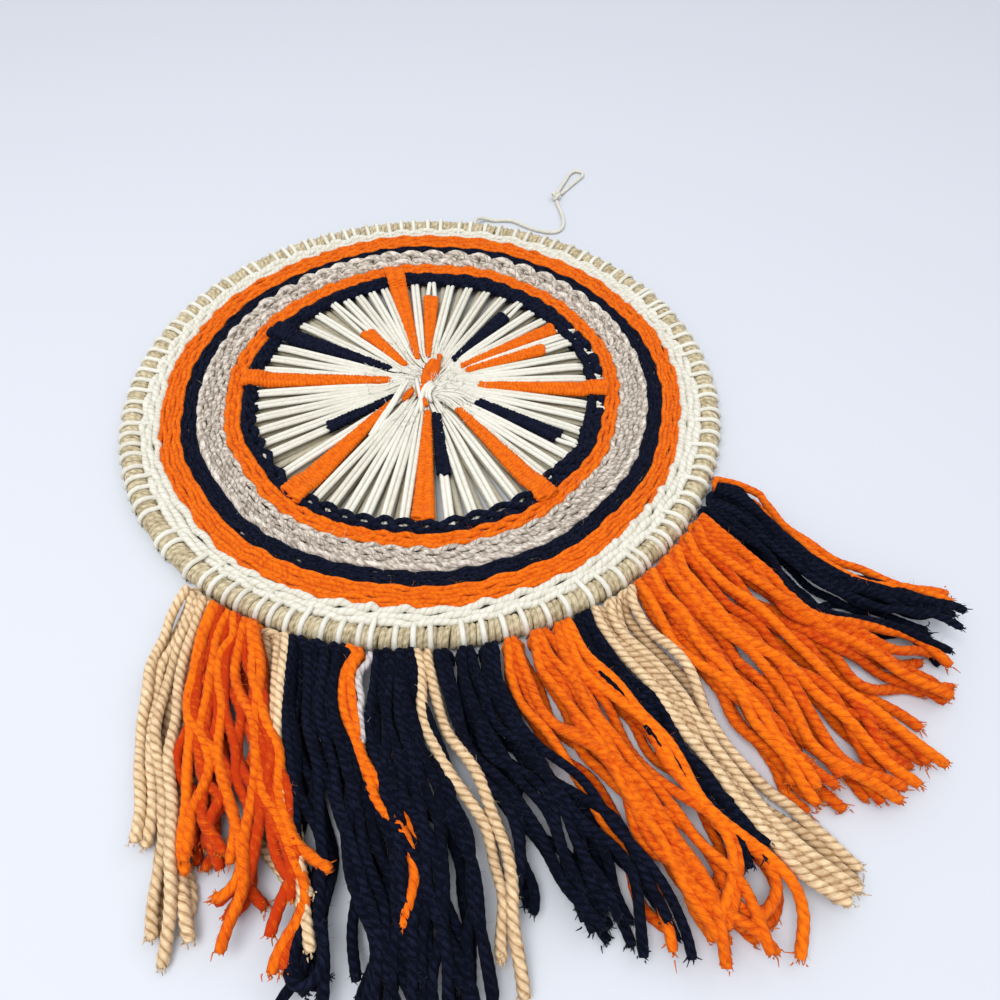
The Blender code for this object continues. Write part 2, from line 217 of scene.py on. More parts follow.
# The rows of each colour between two edges: the height of their middle, how far they rise and
# sink as they weave, how deep the yarn's grooves are, and how far it swells past its own row.
Band = namedtuple("Band", "name yarn outer inner rows height weave groove swell")
BANDS = (
    Band("band_cream", "cream", "tube", "cream", 3, 4.8, 0.50, 0.08, 1.42),
    Band("band_orange_outer", "orange", "cream", "orange_outer", 5, 4.9, 0.30, 0.07, 1.28),
    Band("band_black_outer", "black", "orange_outer", "black_outer", 5, 4.8, 0.26, 0.08, 1.28),
    Band("band_taupe", "taupe", "black_outer", "taupe", 6, 5.1, 0.50, 0.10, 1.28),
    Band("band_orange_inner", "orange", "taupe", "orange_inner", 3, 4.9, 0.32, 0.07, 1.28),
    Band("band_black_inner", "black", "orange_inner", "black_inner", 2, 4.6, 0.30, 0.10, 1.28),
)

# The sides of the ring that are woven differently: the middle direction of each, how far it
# reaches at its full on both sides of that, and how far it then fades, in degrees.
Side = namedtuple("Side", "middle full fade")
OPEN_SIDE = Side(12.0, 22.0, 10.0)  # the black weave is loose, and the warp shows through it
NEAR_SIDE = Side(262.0, 50.0, 20.0)  # the black ends in a chain of eyes
FAR_SIDE = Side(95.0, 45.0, 35.0)  # the taupe stands up in fat scales

PAIRS = 56  # pairs of warp threads, each crossing the rim as two single threads
PAIR_ANGLE = 360.0 / PAIRS
WARP_RING = 58.0  # where the pairs come out from under the weaving
ROW_POINTS = 2880
# The two layers of the taupe's scales: how far round they are set, in pairs, how far in, how much
# they bulge, and half their width, in pairs.
SCALE_LAYERS = ((0.0, 0.0, 1.0, 0.50), (0.5, 4.6, 0.7, 0.40))

# Needle-woven spokes: the middle of each one's inner and outer end, and its widths there.
Spoke = namedtuple("Spoke", "name yarn x1 y1 x2 y2 inner_width outer_width")
SPOKES = (
    Spoke("spoke_orange_1", "orange", 19.2, 0.0, 64.0, 0.0, 3.6, 7.6),
    Spoke("spoke_orange_2", "orange", 14.3, 7.4, 42.0, 20.8, 3.0, 5.6),
    Spoke("spoke_orange_3", "orange", 12.5, 9.8, 45.5, 32.6, 2.6, 6.2),
    Spoke("spoke_black_1", "black", 9.2, 13.2, 27.0, 39.2, 2.7, 6.1),
    Spoke("spoke_orange_4", "orange", -0.2, 14.6, -2.0, 49.2, 2.3, 6.4),
    Spoke("spoke_orange_5", "orange", -4.0, 13.2, -18.0, 64.0, 2.3, 8.2),
    Spoke("spoke_orange_6", "orange", -8.3, 9.6, -24.5, 27.2, 2.5, 6.2),
    Spoke("spoke_black_2", "black", -13.5, 7.5, -59.0, 26.4, 2.2, 8.8),
    Spoke("spoke_orange_7", "orange", -12.8, 1.2, -64.0, -0.6, 3.1, 8.0),
    Spoke("spoke_black_3", "black", -10.9, -7.2, -31.0, -22.2, 2.2, 5.0),
    Spoke("spoke_orange_8", "orange", -10.9, -9.9, -37.5, -52.5, 2.5, 9.2),
    Spoke("spoke_orange_9", "orange", 1.9, -14.0, 4.2, -60.0, 2.7, 7.6),
    Spoke("spoke_black_4", "black", 4.9, -15.0, 9.3, -41.3, 3.4, 5.0),
    Spoke("spoke_orange_10", "orange", 12.5, -12.3, 42.5, -49.5, 2.8, 8.2),
    Spoke("spoke_black_5", "black", 19.0, -8.2, 46.5, -23.0, 3.4, 6.0),
)
SPOKE_HEIGHT = 5.1
CLIMB_START = 55.0  # the distance from the hub at which a long spoke climbs onto the weaving

# Where the warp threads end at the hub, by the direction that they come from, and the soft mounds
# that they rise over there: middle, half widths and height.
HubEnd = namedtuple("HubEnd", "direction x y")
HUB_ENDS = (
    HubEnd(-60.0, 2.0, -6.6),
    HubEnd(-20.0, 1.4, -5.2),
    HubEnd(45.0, 1.4, -3.8),
    HubEnd(72.0, 3.6, -1.0),
    HubEnd(92.0, 2.4, 7.0),
    HubEnd(112.0, 0.2, 7.5),
    HubEnd(130.0, -1.4, 4.0),
    HubEnd(175.0, -1.8, 1.2),
    HubEnd(222.0, -2.6, -0.6),
    HubEnd(236.0, -4.0, 0.6),
    HubEnd(243.0, -5.4, 1.2),
    HubEnd(247.0, -2.0, -7.0),
    HubEnd(268.0, 0.0, -9.0),
    HubEnd(300.0, 2.6, -7.0),
)
Mound = namedtuple("Mound", "x y half_x half_y height")
MOUNDS = (
    Mound(9.6, -1.6, 8.6, 8.4, 2.5),
    Mound(-7.0, 0.4, 6.4, 6.6, 1.7),
    Mound(1.6, 5.0, 4.5, 8.0, 1.2),
)
HUB_HEIGHT = 5.2
# The threads that cross over the hub's orange stitches, by the places that they pass.
CROSSING_THREADS = (
    ((-3.1, 1.0, 6.9), (-2.9, -1.0, 7.6), (-2.4, -3.2, 7.9), (-1.6, -6.4, 7.6), (-0.8, -9.6, 6.8),
     (-0.3, -14.0, 5.6)),
    ((2.3, -1.2, 7.6), (1.0, -3.0, 8.0), (0.2, -5.4, 8.0), (-0.3, -8.2, 7.7), (-1.4, -11.4, 6.5),
     (-2.4, -16.0, 5.5)),
    ((3.0, -1.9, 7.3), (1.8, -3.6, 7.8), (1.0, -6.0, 7.5), (0.9, -9.0, 6.6)),
    ((3.6, -2.8, 7.2), (2.5, -4.4, 7.5), (1.8, -6.6, 7.1), (2.6, -9.5, 6.2)),
    ((1.6, -1.6, 7.4), (0.3, -3.4, 7.7), (-0.6, -6.2, 7.5), (-0.4, -9.2, 7.0), (0.2, -12.2, 6.0)),
    ((-5.6, 0.4, 7.0), (-6.8, -3.2, 7.5), (-8.4, -7.4, 6.8), (-10.4, -12.4, 6.0),
     (-12.6, -18.0, 5.8), (-15.0, -25.0, 5.6)),
    ((-6.8, 0.8, 6.8), (-8.0, -3.4, 7.2), (-9.6, -7.8, 6.6), (-11.6, -12.8, 6.0),
     (-13.8, -18.4, 5.8), (-16.2, -25.4, 5.6)),
    ((-4.6, 1.5, 6.0), (-4.0, -1.0, 6.3), (-3.7, -3.0, 6.3), (-3.4, -6.0, 5.8)),
    ((-2.6, 3.0, 6.2), (-1.8, 0.5, 6.4), (-1.4, -1.5, 6.4), (-1.8, -5.0, 5.9)),
    ((-5.2, -1.0, 6.1), (-4.9, -4.0, 6.2), (-5.6, -8.0, 5.9), (-6.4, -12.0, 5.4)),
)

# The fringe: one lock for each run of one colour, with its stretch of the rim in degrees, its
# knots, its strands, and its layer: a higher one lies on a lower one. Each route is one strand,
# by the places that it passes after its knot; the other strands run between two routes.
RIM_START = R + 2.4
Lock = namedtuple("Lock", "name yarn first last knots strands layer routes")
LOCKS = (
    Lock("fringe_tan_1", "tan", -125, -119.2, 2, 8, 1.6, (
        ((-62, -95), (-63, -107), (-60, -126), (-55.5, -143), (-54, -155)),
        ((-57.5, -97), (-60, -109), (-57.5, -126), (-52.5, -144), (-51, -153)),
        ((-56, -98), (-57.5, -112), (-54.5, -130), (-49, -147), (-43.5, -173)),
        ((-53.5, -98), (-54, -112), (-51.5, -129), (-45, -149), (-39.5, -176)),
        ((-52.5, -97), (-53.5, -111), (-50, -127), (-44, -146), (-37.5, -172)),
    )),
    Lock("fringe_orange_1", "orange", -119.2, -110.4, 3, 24, 2.2, (
        ((-50.5, -103), (-51, -114), (-46, -129), (-44, -141), (-41.5, -149),
         (-38, -160)),
        ((-50.4, -101.5), (-49.6, -110), (-48.5, -118), (-44.6, -126), (-40, -134),
         (-36, -140), (-31.5, -148), (-29, -158)),
        ((-47, -103), (-46.5, -113), (-43.5, -124), (-40.5, -133), (-39.6, -141.5),
         (-41, -147), (-39.5, -157)),
        ((-42, -101.5), (-44.2, -107), (-43.5, -116), (-41.5, -124), (-38.5, -131.5),
         (-35.4, -138.5), (-31.5, -145.4), (-28.5, -152.3), (-27, -160), (-30, -165),
         (-34.5, -164)),
        ((-40, -104), (-39.5, -110), (-36.9, -116), (-33, -124), (-30.8, -132.3),
         (-29.2, -140), (-27, -147.7), (-26.5, -155.4), (-26, -163), (-28.5, -174)),
        ((-37, -102.3), (-34.6, -108.5), (-32.3, -117), (-29.2, -126), (-25.4, -132.3),
         (-22.3, -138.5), (-20, -145.4), (-17, -151.5), (-12.3, -156.2), (-9.8, -160.5)),
        ((-36, -103), (-33, -112), (-29.5, -127), (-27, -137), (-25.5, -144),
         (-21.5, -149.2), (-17, -154.6), (-13, -160.8), (-12.5, -166), (-16.2, -173),
         (-18, -177)),
    )),
    Lock("fringe_tan_2", "tan", -110.4, -105.6, 2, 4, 0.2, (
        ((-33.5, -105), (-32, -118), (-29.5, -133), (-26, -149), (-15, -163)),
        ((-30.5, -105), (-28, -118), (-25.5, -133), (-20, -148), (-12, -164)),
        ((-28, -104), (-27, -117), (-24.5, -133), (-17, -152), (-9, -175)),
    )),
    Lock("fringe_black_1", "black", -105.6, -96.8, 3, 20, 0, (
        ((-26.5, -104), (-25, -120), (-19, -138), (-14.5, -156), (-13.5, -167),
         (-14.5, -176), (-10.5, -180.5), (-6, -176), (-6.5, -168)),
        ((-22, -105), (-19.5, -121), (-13.5, -140), (-8, -160), (-8.5, -187)),
        ((-17.5, -105), (-15.5, -121), (-8, -141), (-1, -158), (6.5, -184)),
        ((-14, -105), (-12.5, -119), (-5.5, -139), (1, -157), (9.5, -187)),
        ((-11.5, -105), (-8.5, -116), (-3, -132), (4, -150), (8, -166),
         (14, -186)),
    )),
    Lock("fringe_orange_2", "orange", -96.8, -94.6, 1, 2, 1, (
        ((-9.5, -105.5), (-11.7, -111), (-10, -119), (-6.5, -127), (-2, -136),
         (1, -143), (7, -148), (9, -156), (10.2, -170)),
        ((-8.3, -105.8), (-10, -111), (-8.2, -119), (-4.7, -127), (-0.3, -136),
         (3.2, -143), (9, -149), (11.5, -157), (12.5, -168)),
    )),
    Lock("fringe_white", "white", -94.4, -93, 0, 1, 4.4, (
        ((-5.5, -107.5), (-7.6, -111.5), (-6.8, -117.5), (-4.8, -125), (-3.2, -129)),
    )),
    Lock("fringe_black_2", "black", -92.8, -86.8, 2, 17, 2.4, (
        ((-4, -106), (-3, -119), (0.5, -137), (7, -155), (14.5, -184)),
        ((2.5, -106), (3.5, -120), (9, -139), (15.5, -158), (20.5, -187)),
        ((6.5, -105), (9, -119), (17, -138), (24, -156), (29, -186)),
    )),
    Lock("fringe_tan_3", "tan", -86.8, -84.4, 1, 2, 5, (
        ((8.2, -109), (9.5, -118), (11.5, -126), (16, -135), (22, -142),
         (26.5, -148), (29, -156), (30.5, -163), (30, -174)),
        ((9.5, -106.5), (12.5, -116), (16, -126), (22, -134), (27.5, -143),
         (31, -150), (32.5, -158), (33, -168), (36, -180)),
    )),
    Lock("fringe_black_3", "black", -84.4, -74.2, 3, 17, 3, (
        ((14, -112), (18.5, -124), (27.5, -137), (33, -151), (32.5, -163)),
        ((16, -113), (19, -125), (31, -137.5), (39.5, -150), (49.5, -170)),
        ((20, -113), (24.5, -125), (36, -137.5), (45, -153), (50.5, -168)),
        ((23.5, -112), (29.5, -125), (42.5, -139), (51, -156), (56, -167)),
        ((26, -111), (32, -124.5), (46, -141), (58, -157), (61.5, -172)),
        ((28, -110), (34, -123), (50, -140), (66, -157), (72, -172)),
    )),
    Lock("fringe_orange_3", "orange", -74.2, -62.4, 3, 21, 1.6, (
        ((31, -108), (36, -121), (47, -133), (56, -146), (70, -171)),
        ((34.5, -108), (42, -121), (56, -131), (68, -146), (80, -173)),
        ((39.5, -107), (46, -118), (55, -132), (66, -150), (79, -171)),
        ((41.5, -104), (50, -116), (60, -138), (75, -160), (89, -173)),
        ((44.5, -102), (50, -113), (61, -131), (77, -152), (90, -169)),
        ((47, -99), (51, -108), (60, -117), (68, -128), (75.5, -141),
         (82, -152), (78, -167)),
        ((47.5, -96), (51.5, -105), (61.5, -114), (70, -126), (78, -142),
         (90, -153), (94, -160), (92, -171)),
    )),
    Lock("fringe_black_4", "black", -62.4, -59.4, 1, 7, 1.2, (
        ((49.5, -95), (53.5, -106), (62.5, -117.5), (70, -129), (78, -141),
         (85, -155)),
        ((53, -95), (59, -106), (68, -118), (76, -130), (83, -141),
         (90, -154)),
    )),
    Lock("fringe_tan_4", "tan", -59.4, -50.8, 3, 8, 2.6, (
        ((54.5, -91), (57.5, -98.5), (68.5, -112.5), (78.5, -130), (85, -141),
         (94.5, -152.5), (105, -162.5)),
        ((59, -89), (61.5, -96), (73, -110), (81.5, -127.5), (90, -140),
         (100, -151), (110, -160)),
        ((65, -86), (69, -93.5), (78.5, -107), (83.5, -120), (91, -132),
         (101, -141.5), (114, -154)),
    )),
    Lock("fringe_orange_4", "orange", -50.8, -32, 6, 31, 1, (
        ((70, -86), (77, -98), (88, -113), (97, -128), (105, -141)),
        ((73, -84), (82, -97), (93, -115), (98, -126), (104, -137)),
        ((77, -78), (86, -92), (100, -108), (109, -127), (122, -141)),
        ((80, -76), (90, -90), (104, -106), (117, -121), (128, -136)),
        ((84, -70), (94, -83), (109, -97), (121, -115), (138, -130)),
        ((88, -66), (98, -78), (113, -90), (129, -101), (146, -113)),
        ((93, -63), (103, -74), (114, -88), (131, -93), (150, -99)),
    )),
    Lock("fringe_black_5", "black", -32, -24.2, 2, 16, 0.6, (
        ((94, -59), (104, -69), (113, -84), (132, -92), (151, -98)),
        ((97, -54), (108, -67), (120, -80), (137, -86), (154, -92)),
        ((100, -49), (110, -63), (123, -76), (139, -81), (157, -86)),
        ((101, -46), (109.5, -60), (119.5, -74.5), (136.5, -80), (156, -85)),
    )),
    Lock("fringe_orange_5", "orange", -24.2, -21, 1, 2, 1.4, (
        ((107, -46), (113.5, -60), (118.5, -66), (123.5, -70.5), (129, -73.5),
         (139, -78), (155, -80.5)),
        ((106, -47), (112.3, -61), (117, -67.5), (122, -72.2), (127.5, -75.4),
         (138, -79.6), (154, -82.5)),
    )),
)
ROUTE_POINTS = 22
STRAND_POINTS = 60
KNOTLESS_START = (-5.4, -105.2)  # where the lone white strand comes out between two knots
# The fringe's yarns: thickness beside the setting for them all, length of a twist, depth of the
# grooves, how loosely the strands lie, their loose fibres, and how far they are shaded.
Strand = namedtuple("Strand", "size twist groove loose fibres shaded")
STRANDS = {
    "tan": Strand(1.04, 6.4, 0.14, 0.45, 26, 0.0),
    "orange": Strand(0.94, 7.2, 0.10, 1.0, 26, 0.0),
    "black": Strand(0.86, 6.4, 0.08, 1.0, 60, 1.0),
    "white": Strand(0.78, 6.4, 0.14, 0.3, 26, 0.0),
}
STRAND_GIRTH = ((0.0, 0.03, 0.985, 1.0), (0.8, 1.0, 1.0, 0.8))  # narrower at both ends
# How much painted shade darkens the strands between the routes, which lie under them, in some
# locks, and in the rest of them.
UNDER_SHADE = {"fringe_orange_1": 2.8, "fringe_orange_4": 1.3, "fringe_orange_3": 0.9}
USUAL_UNDER_SHADE = 0.5
# How much plumper the strands of some locks are.
PLUMP = {"fringe_orange_4": 1.16}

# How the strands lie: how close two of them may come as a share of their thickness, how steeply
# one can climb, how it comes down from its knot, and the height from which a pile is pressed flat.
PRESSED = 0.92
STEEPEST = 0.38
KNOT_HEIGHT = 3.6
KNOT_SLOPE = 0.25
PILE_HEIGHT = 6.5

# The hanging cord's route, in metres from the hoop's centre, then its knot and its loop.
CORD_HEIGHT = 0.00085
CORD_ROUTE = (
    (0.01245, 0.10145, 0.0040),
    (0.0129, 0.1052, 0.0039),
    (0.0143, 0.1086, 0.0027),
    (0.0172, 0.1106, 0.0014),
    (0.0208, 0.1102, CORD_HEIGHT),
    (0.0250, 0.1106, CORD_HEIGHT),
    (0.0290, 0.1103, CORD_HEIGHT),
    (0.0326, 0.1080, CORD_HEIGHT),
    (0.0366, 0.1053, CORD_HEIGHT),
    (0.0406, 0.1035, CORD_HEIGHT),
    (0.0446, 0.1025, CORD_HEIGHT),
    (0.0480, 0.1030, CORD_HEIGHT),
    (0.0504, 0.1054, CORD_HEIGHT),
    (0.0514, 0.1092, CORD_HEIGHT),
    (0.0513, 0.1138, CORD_HEIGHT),
    (0.0505, 0.1190, CORD_HEIGHT),
    (0.0494, 0.1240, CORD_HEIGHT),
    (0.0488, 0.1266, CORD_HEIGHT + 0.0006),
)
KNOT_CENTRE = (0.0485, 0.1299, 0.0023)
LOOP_ROUTE = (
    (0.0486, 0.1332, CORD_HEIGHT + 0.0006),
    (0.0500, 0.1366, CORD_HEIGHT),
    (0.0518, 0.1416, CORD_HEIGHT),
    (0.0538, 0.1470, CORD_HEIGHT),
    (0.0556, 0.1516, CORD_HEIGHT),
    (0.0582, 0.1543, CORD_HEIGHT),
    (0.0612, 0.1534, CORD_HEIGHT),
    (0.0614, 0.1502, CORD_HEIGHT),
    (0.0584, 0.1454, CORD_HEIGHT),
    (0.0552, 0.1404, CORD_HEIGHT),
    (0.0524, 0.1360, CORD_HEIGHT),
    (0.0509, 0.1329, CORD_HEIGHT + 0.0006),
)

# Where the viewer stands, in millimetres from the hoop's centre, and how the view is turned.
VIEW_PLACE = (27.2, -198.0, 192.6)
VIEW_PITCH = 51.77
VIEW_ROLL = 1.77
VIEW_LENS = 27.78

# The floor's width in metres, the pale sky all round, and the lamps by place, size and power, in
# metres from the hoop's centre and watts.
FLOOR_WIDTH = 6.0
SKY = "#EEF2FA"
SKY_STRENGTH = 0.84
Lamp = namedtuple("Lamp", "name place size power")
LAMPS = (
    Lamp("window light", (-0.2, -0.36, 0.9), 0.6, 7.0),
    Lamp("fill light", (0.5, 0.2, 1.1), 0.9, 2.5),
)

# A yarn: its radius, its plies, the length of one twist (or of one step, on a single yarn), how
# deep the grooves between its plies are, and the facets that each ply is drawn with.
Yarn = namedtuple("Yarn", "radius plies twist groove facets", defaults=(3,))
SINGLE_SIDES = 6  # the facets of a single yarn
EVEN_GIRTH = ((0.0, 1.0), (1.0, 1.0))
FIBRE = 0.035  # the radius that a loose fibre is drawn with, coarse enough to show
STREAK_SHIFT = 37.0  # moves the streaks along by the shade, so that no two yarns have the same
LOWEST = 0.05  # the height under which no yarn reaches

SLOTS = {
    "tan": "tan_yarn",
    "orange": "orange_yarn",
    "black": "black_yarn",
    "taupe": "taupe_yarn",
    "white": "white_yarn",
    "cream": "cream_cotton",
}


# Shapes: lines, and the tubes of yarn that follow them.


def unit(vectors):
    """The directions of these vectors, each of length 1."""
    return vectors / np.linalg.norm(vectors, axis=-1, keepdims=True)


def polar(radius, degrees, height):
    """Points by radius, angle in degrees and height."""
    angle = np.radians(degrees)
    parts = np.broadcast_arrays(radius * np.cos(angle), radius * np.sin(angle), height)
    return np.stack(parts, axis=-1)


def sideways(degrees):
    """The direction across a line that leaves the centre at this angle."""
    return np.array((-sin(radians(degrees)), cos(radians(degrees)), 0.0))


def smooth_line(points, pieces=8):
    """A smooth curve through the points."""
    chain = np.array(points, float)
    chain = np.vstack([2 * chain[0] - chain[1], chain, 2 * chain[-1] - chain[-2]])
    a, b, c, d = chain[:-3], chain[1:-2], chain[2:-1], chain[3:]
    t = np.linspace(0.0, 1.0, pieces, endpoint=False)[:, None, None]
    square = (2 * a - 5 * b + 4 * c - d) * t**2
    curve = 0.5 * (2 * b + (c - a) * t + square + (3 * b - a - 3 * c + d) * t**3)
    return np.vstack([curve.transpose(1, 0, 2).reshape(-1, chain.shape[1]), chain[-2]])


def distances(line):
    """How far along the line each of its points is."""
    steps = np.linalg.norm(np.diff(line, axis=0), axis=1)
    return np.concatenate([[0.0], np.cumsum(steps)])


def even_points(line, count):
    """The line again, as this many evenly spaced points."""
    along = distances(line)
    wanted = np.linspace(0.0, along[-1], count)
    return np.stack([np.interp(wanted, along, column) for column in line.T], axis=1)


class Skein:
    """Gathers tubes of yarn, then makes one mesh of them."""

    def __init__(self):
        self.points, self.faces, self.uvs = [], [], []
        self.hollows, self.shades, self.hairs = [], [], []
        self.count = 0

    def tube(self, rings, along, closed=False, hand=1, hollow=0.0, shade=0.0, hair=0.0):
        """One tube of triangles: rings is (stations, sides, 3). It is capped unless it is closed.
        Each face is split along the way that the plies run."""
        stations, sides, _ = rings.shape
        self.points.append(rings.reshape(-1, 3))
        for store, value in ((self.hollows, hollow), (self.shades, shade), (self.hairs, hair)):
            store.append(np.broadcast_to(value, (stations, sides)).ravel())
        ring, place = np.meshgrid(
            np.arange(stations - (not closed)), np.arange(sides), indexing="ij"
        )
        near_low, near_high = (ring, place), (ring, place + 1)
        far_low, far_high = (ring + 1, place), (ring + 1, place + 1)
        if hand > 0:
            corners = (near_low, far_low, far_high, near_low, far_high, near_high)
        else:
            corners = (near_low, far_low, near_high, near_high, far_low, far_high)
        rows = np.stack([corner[0] for corner in corners], axis=-1).reshape(-1, 3)
        columns = np.stack([corner[1] for corner in corners], axis=-1).reshape(-1, 3)
        if not closed:
            fan = np.arange(1, sides - 1)
            first = np.stack([0 * fan, fan, fan + 1], axis=-1)
            last = np.stack([0 * fan, fan + 1, fan], axis=-1)
            rows = np.vstack([rows, 0 * first, 0 * last + stations - 1])
            columns = np.vstack([columns, first, last])
        self.faces.append(self.count + (rows % stations) * sides + columns % sides)
        step = along[1] - along[0]
        across = (columns - hand * rows) / sides
        self.uvs.append(np.stack([along[0] + rows * step, across], axis=-1).reshape(-1, 2))
        self.count += stations * sides

    def lay(
        self,
        line,
        yarn,
        up=UP,
        closed=False,
        hand=1,
        shape=(1.0, 1.0),
        girth=EVEN_GIRTH,
        shade=0.0,
        seam=0.0,
    ):
        """Lays yarn along a line. Its plies wind one vertex round for each ring, so their grooves
        stay sharp, and are marked as hollows, which the finish darkens with painted shade. shape is
        its width and height, girth its thickness at shares of its length, and seam how much painted
        shade a single yarn gets where it touches its neighbours."""
        line = np.asarray(line, float)
        if closed:
            line = np.vstack([line, line[:1]])
        plied = yarn.plies > 1
        sides = yarn.facets * yarn.plies if plied else SINGLE_SIDES
        step = yarn.twist / sides if plied else yarn.twist
        total = distances(line)[-1]
        stations = max(2, round(total / step / yarn.facets)) * yarn.facets
        points = even_points(line, stations + closed)
        if closed:
            points = points[:-1]
            tangent = unit(np.roll(points, -1, axis=0) - np.roll(points, 1, axis=0))
        else:
            tangent = unit(np.gradient(points, axis=0))
        normal = unit(up - (tangent * up).sum(1, keepdims=True) * tangent)
        side = np.cross(tangent, normal)
        share = np.linspace(0.0, 1.0, stations)
        ring, place = np.meshgrid(np.arange(stations), np.arange(sides), indexing="ij")
        around = 2 * pi * place / sides
        # hollow marks the grooves, and a single yarn's sides, for the finish's painted shade.
        if plied:
            hollow = ((place - hand * ring) % yarn.facets == 0) * 1.0
        else:
            hollow = seam * np.abs(np.sin(around))
        thick = yarn.radius * np.interp(share, *girth)
        radius = thick[:, None] * (1.0 - yarn.groove * hollow) * np.ones((stations, sides))
        rings = points[:, None] + side[:, None] * (shape[0] * radius * np.cos(around))[..., None]
        rings = rings + normal[:, None] * (shape[1] * radius * np.sin(around))[..., None]
        self.tube(rings, share * total + STREAK_SHIFT * shade, closed, hand, hollow, shade)
        return points

    def fuzz(self, line, radius, count, rng, longest, thick=FIBRE):
        """Loose fibres that stand out round a line of yarn."""
        places = rng.integers(0, len(line) - 1, count)
        for place in places:
            ahead = unit(line[place + 1] - line[place])
            out = unit(np.cross(ahead, rng.normal(size=3)))
            out[2] = abs(out[2])
            way = out * 0.8 + ahead * rng.normal(0.0, 0.8)
            self.hair(line[place] + out * radius * 0.8, way, rng, longest, thick)

    def hair(self, root, way, rng, longest, thick, halo=1.0):
        """One bent fibre, as pale against its yarn as halo says."""
        length = rng.uniform(0.4, 1.0) * longest
        bend = rng.normal(0.0, 0.5, 3)
        shares = np.array((0.0, 0.4, 1.0))[:, None]
        line = root + (unit(way) + bend * shares) * shares * length
        line[:, 2] = np.maximum(line[:, 2], 2 * LOWEST)
        across = unit(np.cross(line[-1] - line[0], (0.3, 0.2, 1.0)))
        other = unit(np.cross(line[-1] - line[0], across))
        around = 2 * pi * np.arange(3) / 3
        ring = (np.outer(np.cos(around), other) + np.outer(np.sin(around), across)) * thick
        sizes = np.array((1.0, 0.9, 0.4))[:, None, None]
        shade = rng.uniform(-0.5, 0.5)
        self.tube(line[:, None] + ring * sizes, np.arange(3.0), shade=shade, hair=halo)

    def piece(self, context, name, yarn_name, *nodes):
        """The mesh as one object of this yarn that stands for these CAD nodes."""
        points = np.vstack(self.points) + HUB
        points[:, 2] = np.maximum(points[:, 2], LOWEST)
        faces = np.vstack(self.faces)
        mesh = bpy.data.meshes.new(name)
        mesh.vertices.add(len(points))
        mesh.vertices.foreach_set("co", (points * MM).ravel())
        mesh.loops.add(faces.size)
        mesh.loops.foreach_set("vertex_index", faces.ravel())
        mesh.polygons.add(len(faces))
        mesh.polygons.foreach_set("loop_start", np.arange(0, faces.size, 3))
        mesh.update(calc_edges=True)
        layer = mesh.uv_layers.new(name="yarn")
        layer.data.foreach_set("uv", np.vstack(self.uvs).astype(np.float32).ravel())
        for key, values in (("shade", self.shades), ("hollow", self.hollows), ("hair", self.hairs)):
            tone = mesh.attributes.new(key, "FLOAT", "POINT")
            tone.data.foreach_set("value", np.concatenate(values).astype(np.float32))
        mesh.shade_smooth()
        mesh.materials.append(yarn_finish(context, yarn_name))
        piece = bpy.data.objects.new(name, mesh)
        context.scene.collection.objects.link(piece)
        return enrol(piece, yarn_name, *nodes)


def enrol(piece, yarn_name, *nodes):
    """Fixes a finished piece to the hanging and says which CAD nodes it stands for."""
    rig.ride(piece, "root")
    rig.slot(piece, SLOTS[yarn_name])
    if nodes:
        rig.replaces(piece, *nodes)
    return piece


def edge_radius(name, degrees):
    """The radius of an edge of the weaving, smooth between its four places."""
    edge = EDGES[name]
    angle = np.radians(degrees)
    level = (edge.right + edge.top + edge.left + edge.bottom) / 4
    sway = (edge.right - edge.left) / 2 * np.cos(angle) + (edge.top - edge.bottom) / 2 * np.sin(angle)
    squeeze = (edge.right + edge.left - edge.top - edge.bottom) / 4 * np.cos(2 * angle)
    return R * (level + sway + squeeze)


def presence(side, degrees):
    """How much of a side's own weave there is in a direction: 1 on that side and 0 off it."""
    away = np.abs((degrees - side.middle + 180.0) % 360.0 - 180.0)
    return np.clip(1.0 - (away - side.full) / side.fade, 0.0, 1.0)


def drift(degrees, size, orders, rng):
    """A slow, uneven wave round the ring."""
    angle = np.radians(degrees)
    waves = [np.cos(order * angle + rng.uniform(0, 2 * pi)) for order in orders]
    return size * sum(waves) / len(orders) ** 0.5


def heading(spoke):
    """The direction in which a spoke's line meets the inside of the weaving."""
    start = np.array((spoke.x1, spoke.y1))
    ahead = unit(np.array((spoke.x2, spoke.y2)) - start)
    along = -start @ ahead + ((start @ ahead) ** 2 - start @ start + WARP_RING**2) ** 0.5
    x, y = start + along * ahead
    return np.degrees(np.arctan2(y, x)) % 360.0


def pair_angles():
    """The direction of each pair of warp threads, and the spoke on it, by the pair's number.
    The pairs are evenly spaced, but drawn to the spokes."""
    even = np.arange(PAIRS) * PAIR_ANGLE
    spokes = {}
    for spoke in SPOKES:
        spokes[round(heading(spoke) / PAIR_ANGLE) % PAIRS] = spoke
    known = sorted(spokes)
    shift = [(heading(spokes[k]) - even[k] + 180.0) % 360.0 - 180.0 for k in known]
    places = np.array([known[-1] - PAIRS, *known, known[0] + PAIRS])
    return even + np.interp(np.arange(PAIRS), places, [shift[-1], *shift, shift[0]]), spokes


def rim_angles():
    """Where each front thread crosses the rim: two to a pair, unevenly spaced."""
    rng = np.random.default_rng(31)
    angles, _ = pair_angles()
    threads = np.stack([angles - PAIR_ANGLE / 4, angles + PAIR_ANGLE / 4], axis=1)
    return threads + rng.uniform(-0.5, 0.5, threads.shape)


def thread_count(degrees):
    """How many threads have been passed, going round to this direction."""
    threads = np.sort(rim_angles().ravel() % 360.0)
    places = np.concatenate([[threads[-1] - 360.0], threads, [threads[0] + 360.0]])
    return np.interp(degrees % 360.0, places, np.arange(len(places)) - 1.0)


# Finishes.


def linear(hex_colour):
    """A colour in linear light from its sRGB hex value."""
    parts = [int(hex_colour[i : i + 2], 16) / 255 for i in (1, 3, 5)]
    return tuple(
        part / 12.92 if part <= 0.04045 else ((part + 0.055) / 1.055) ** 2.4 for part in parts
    )


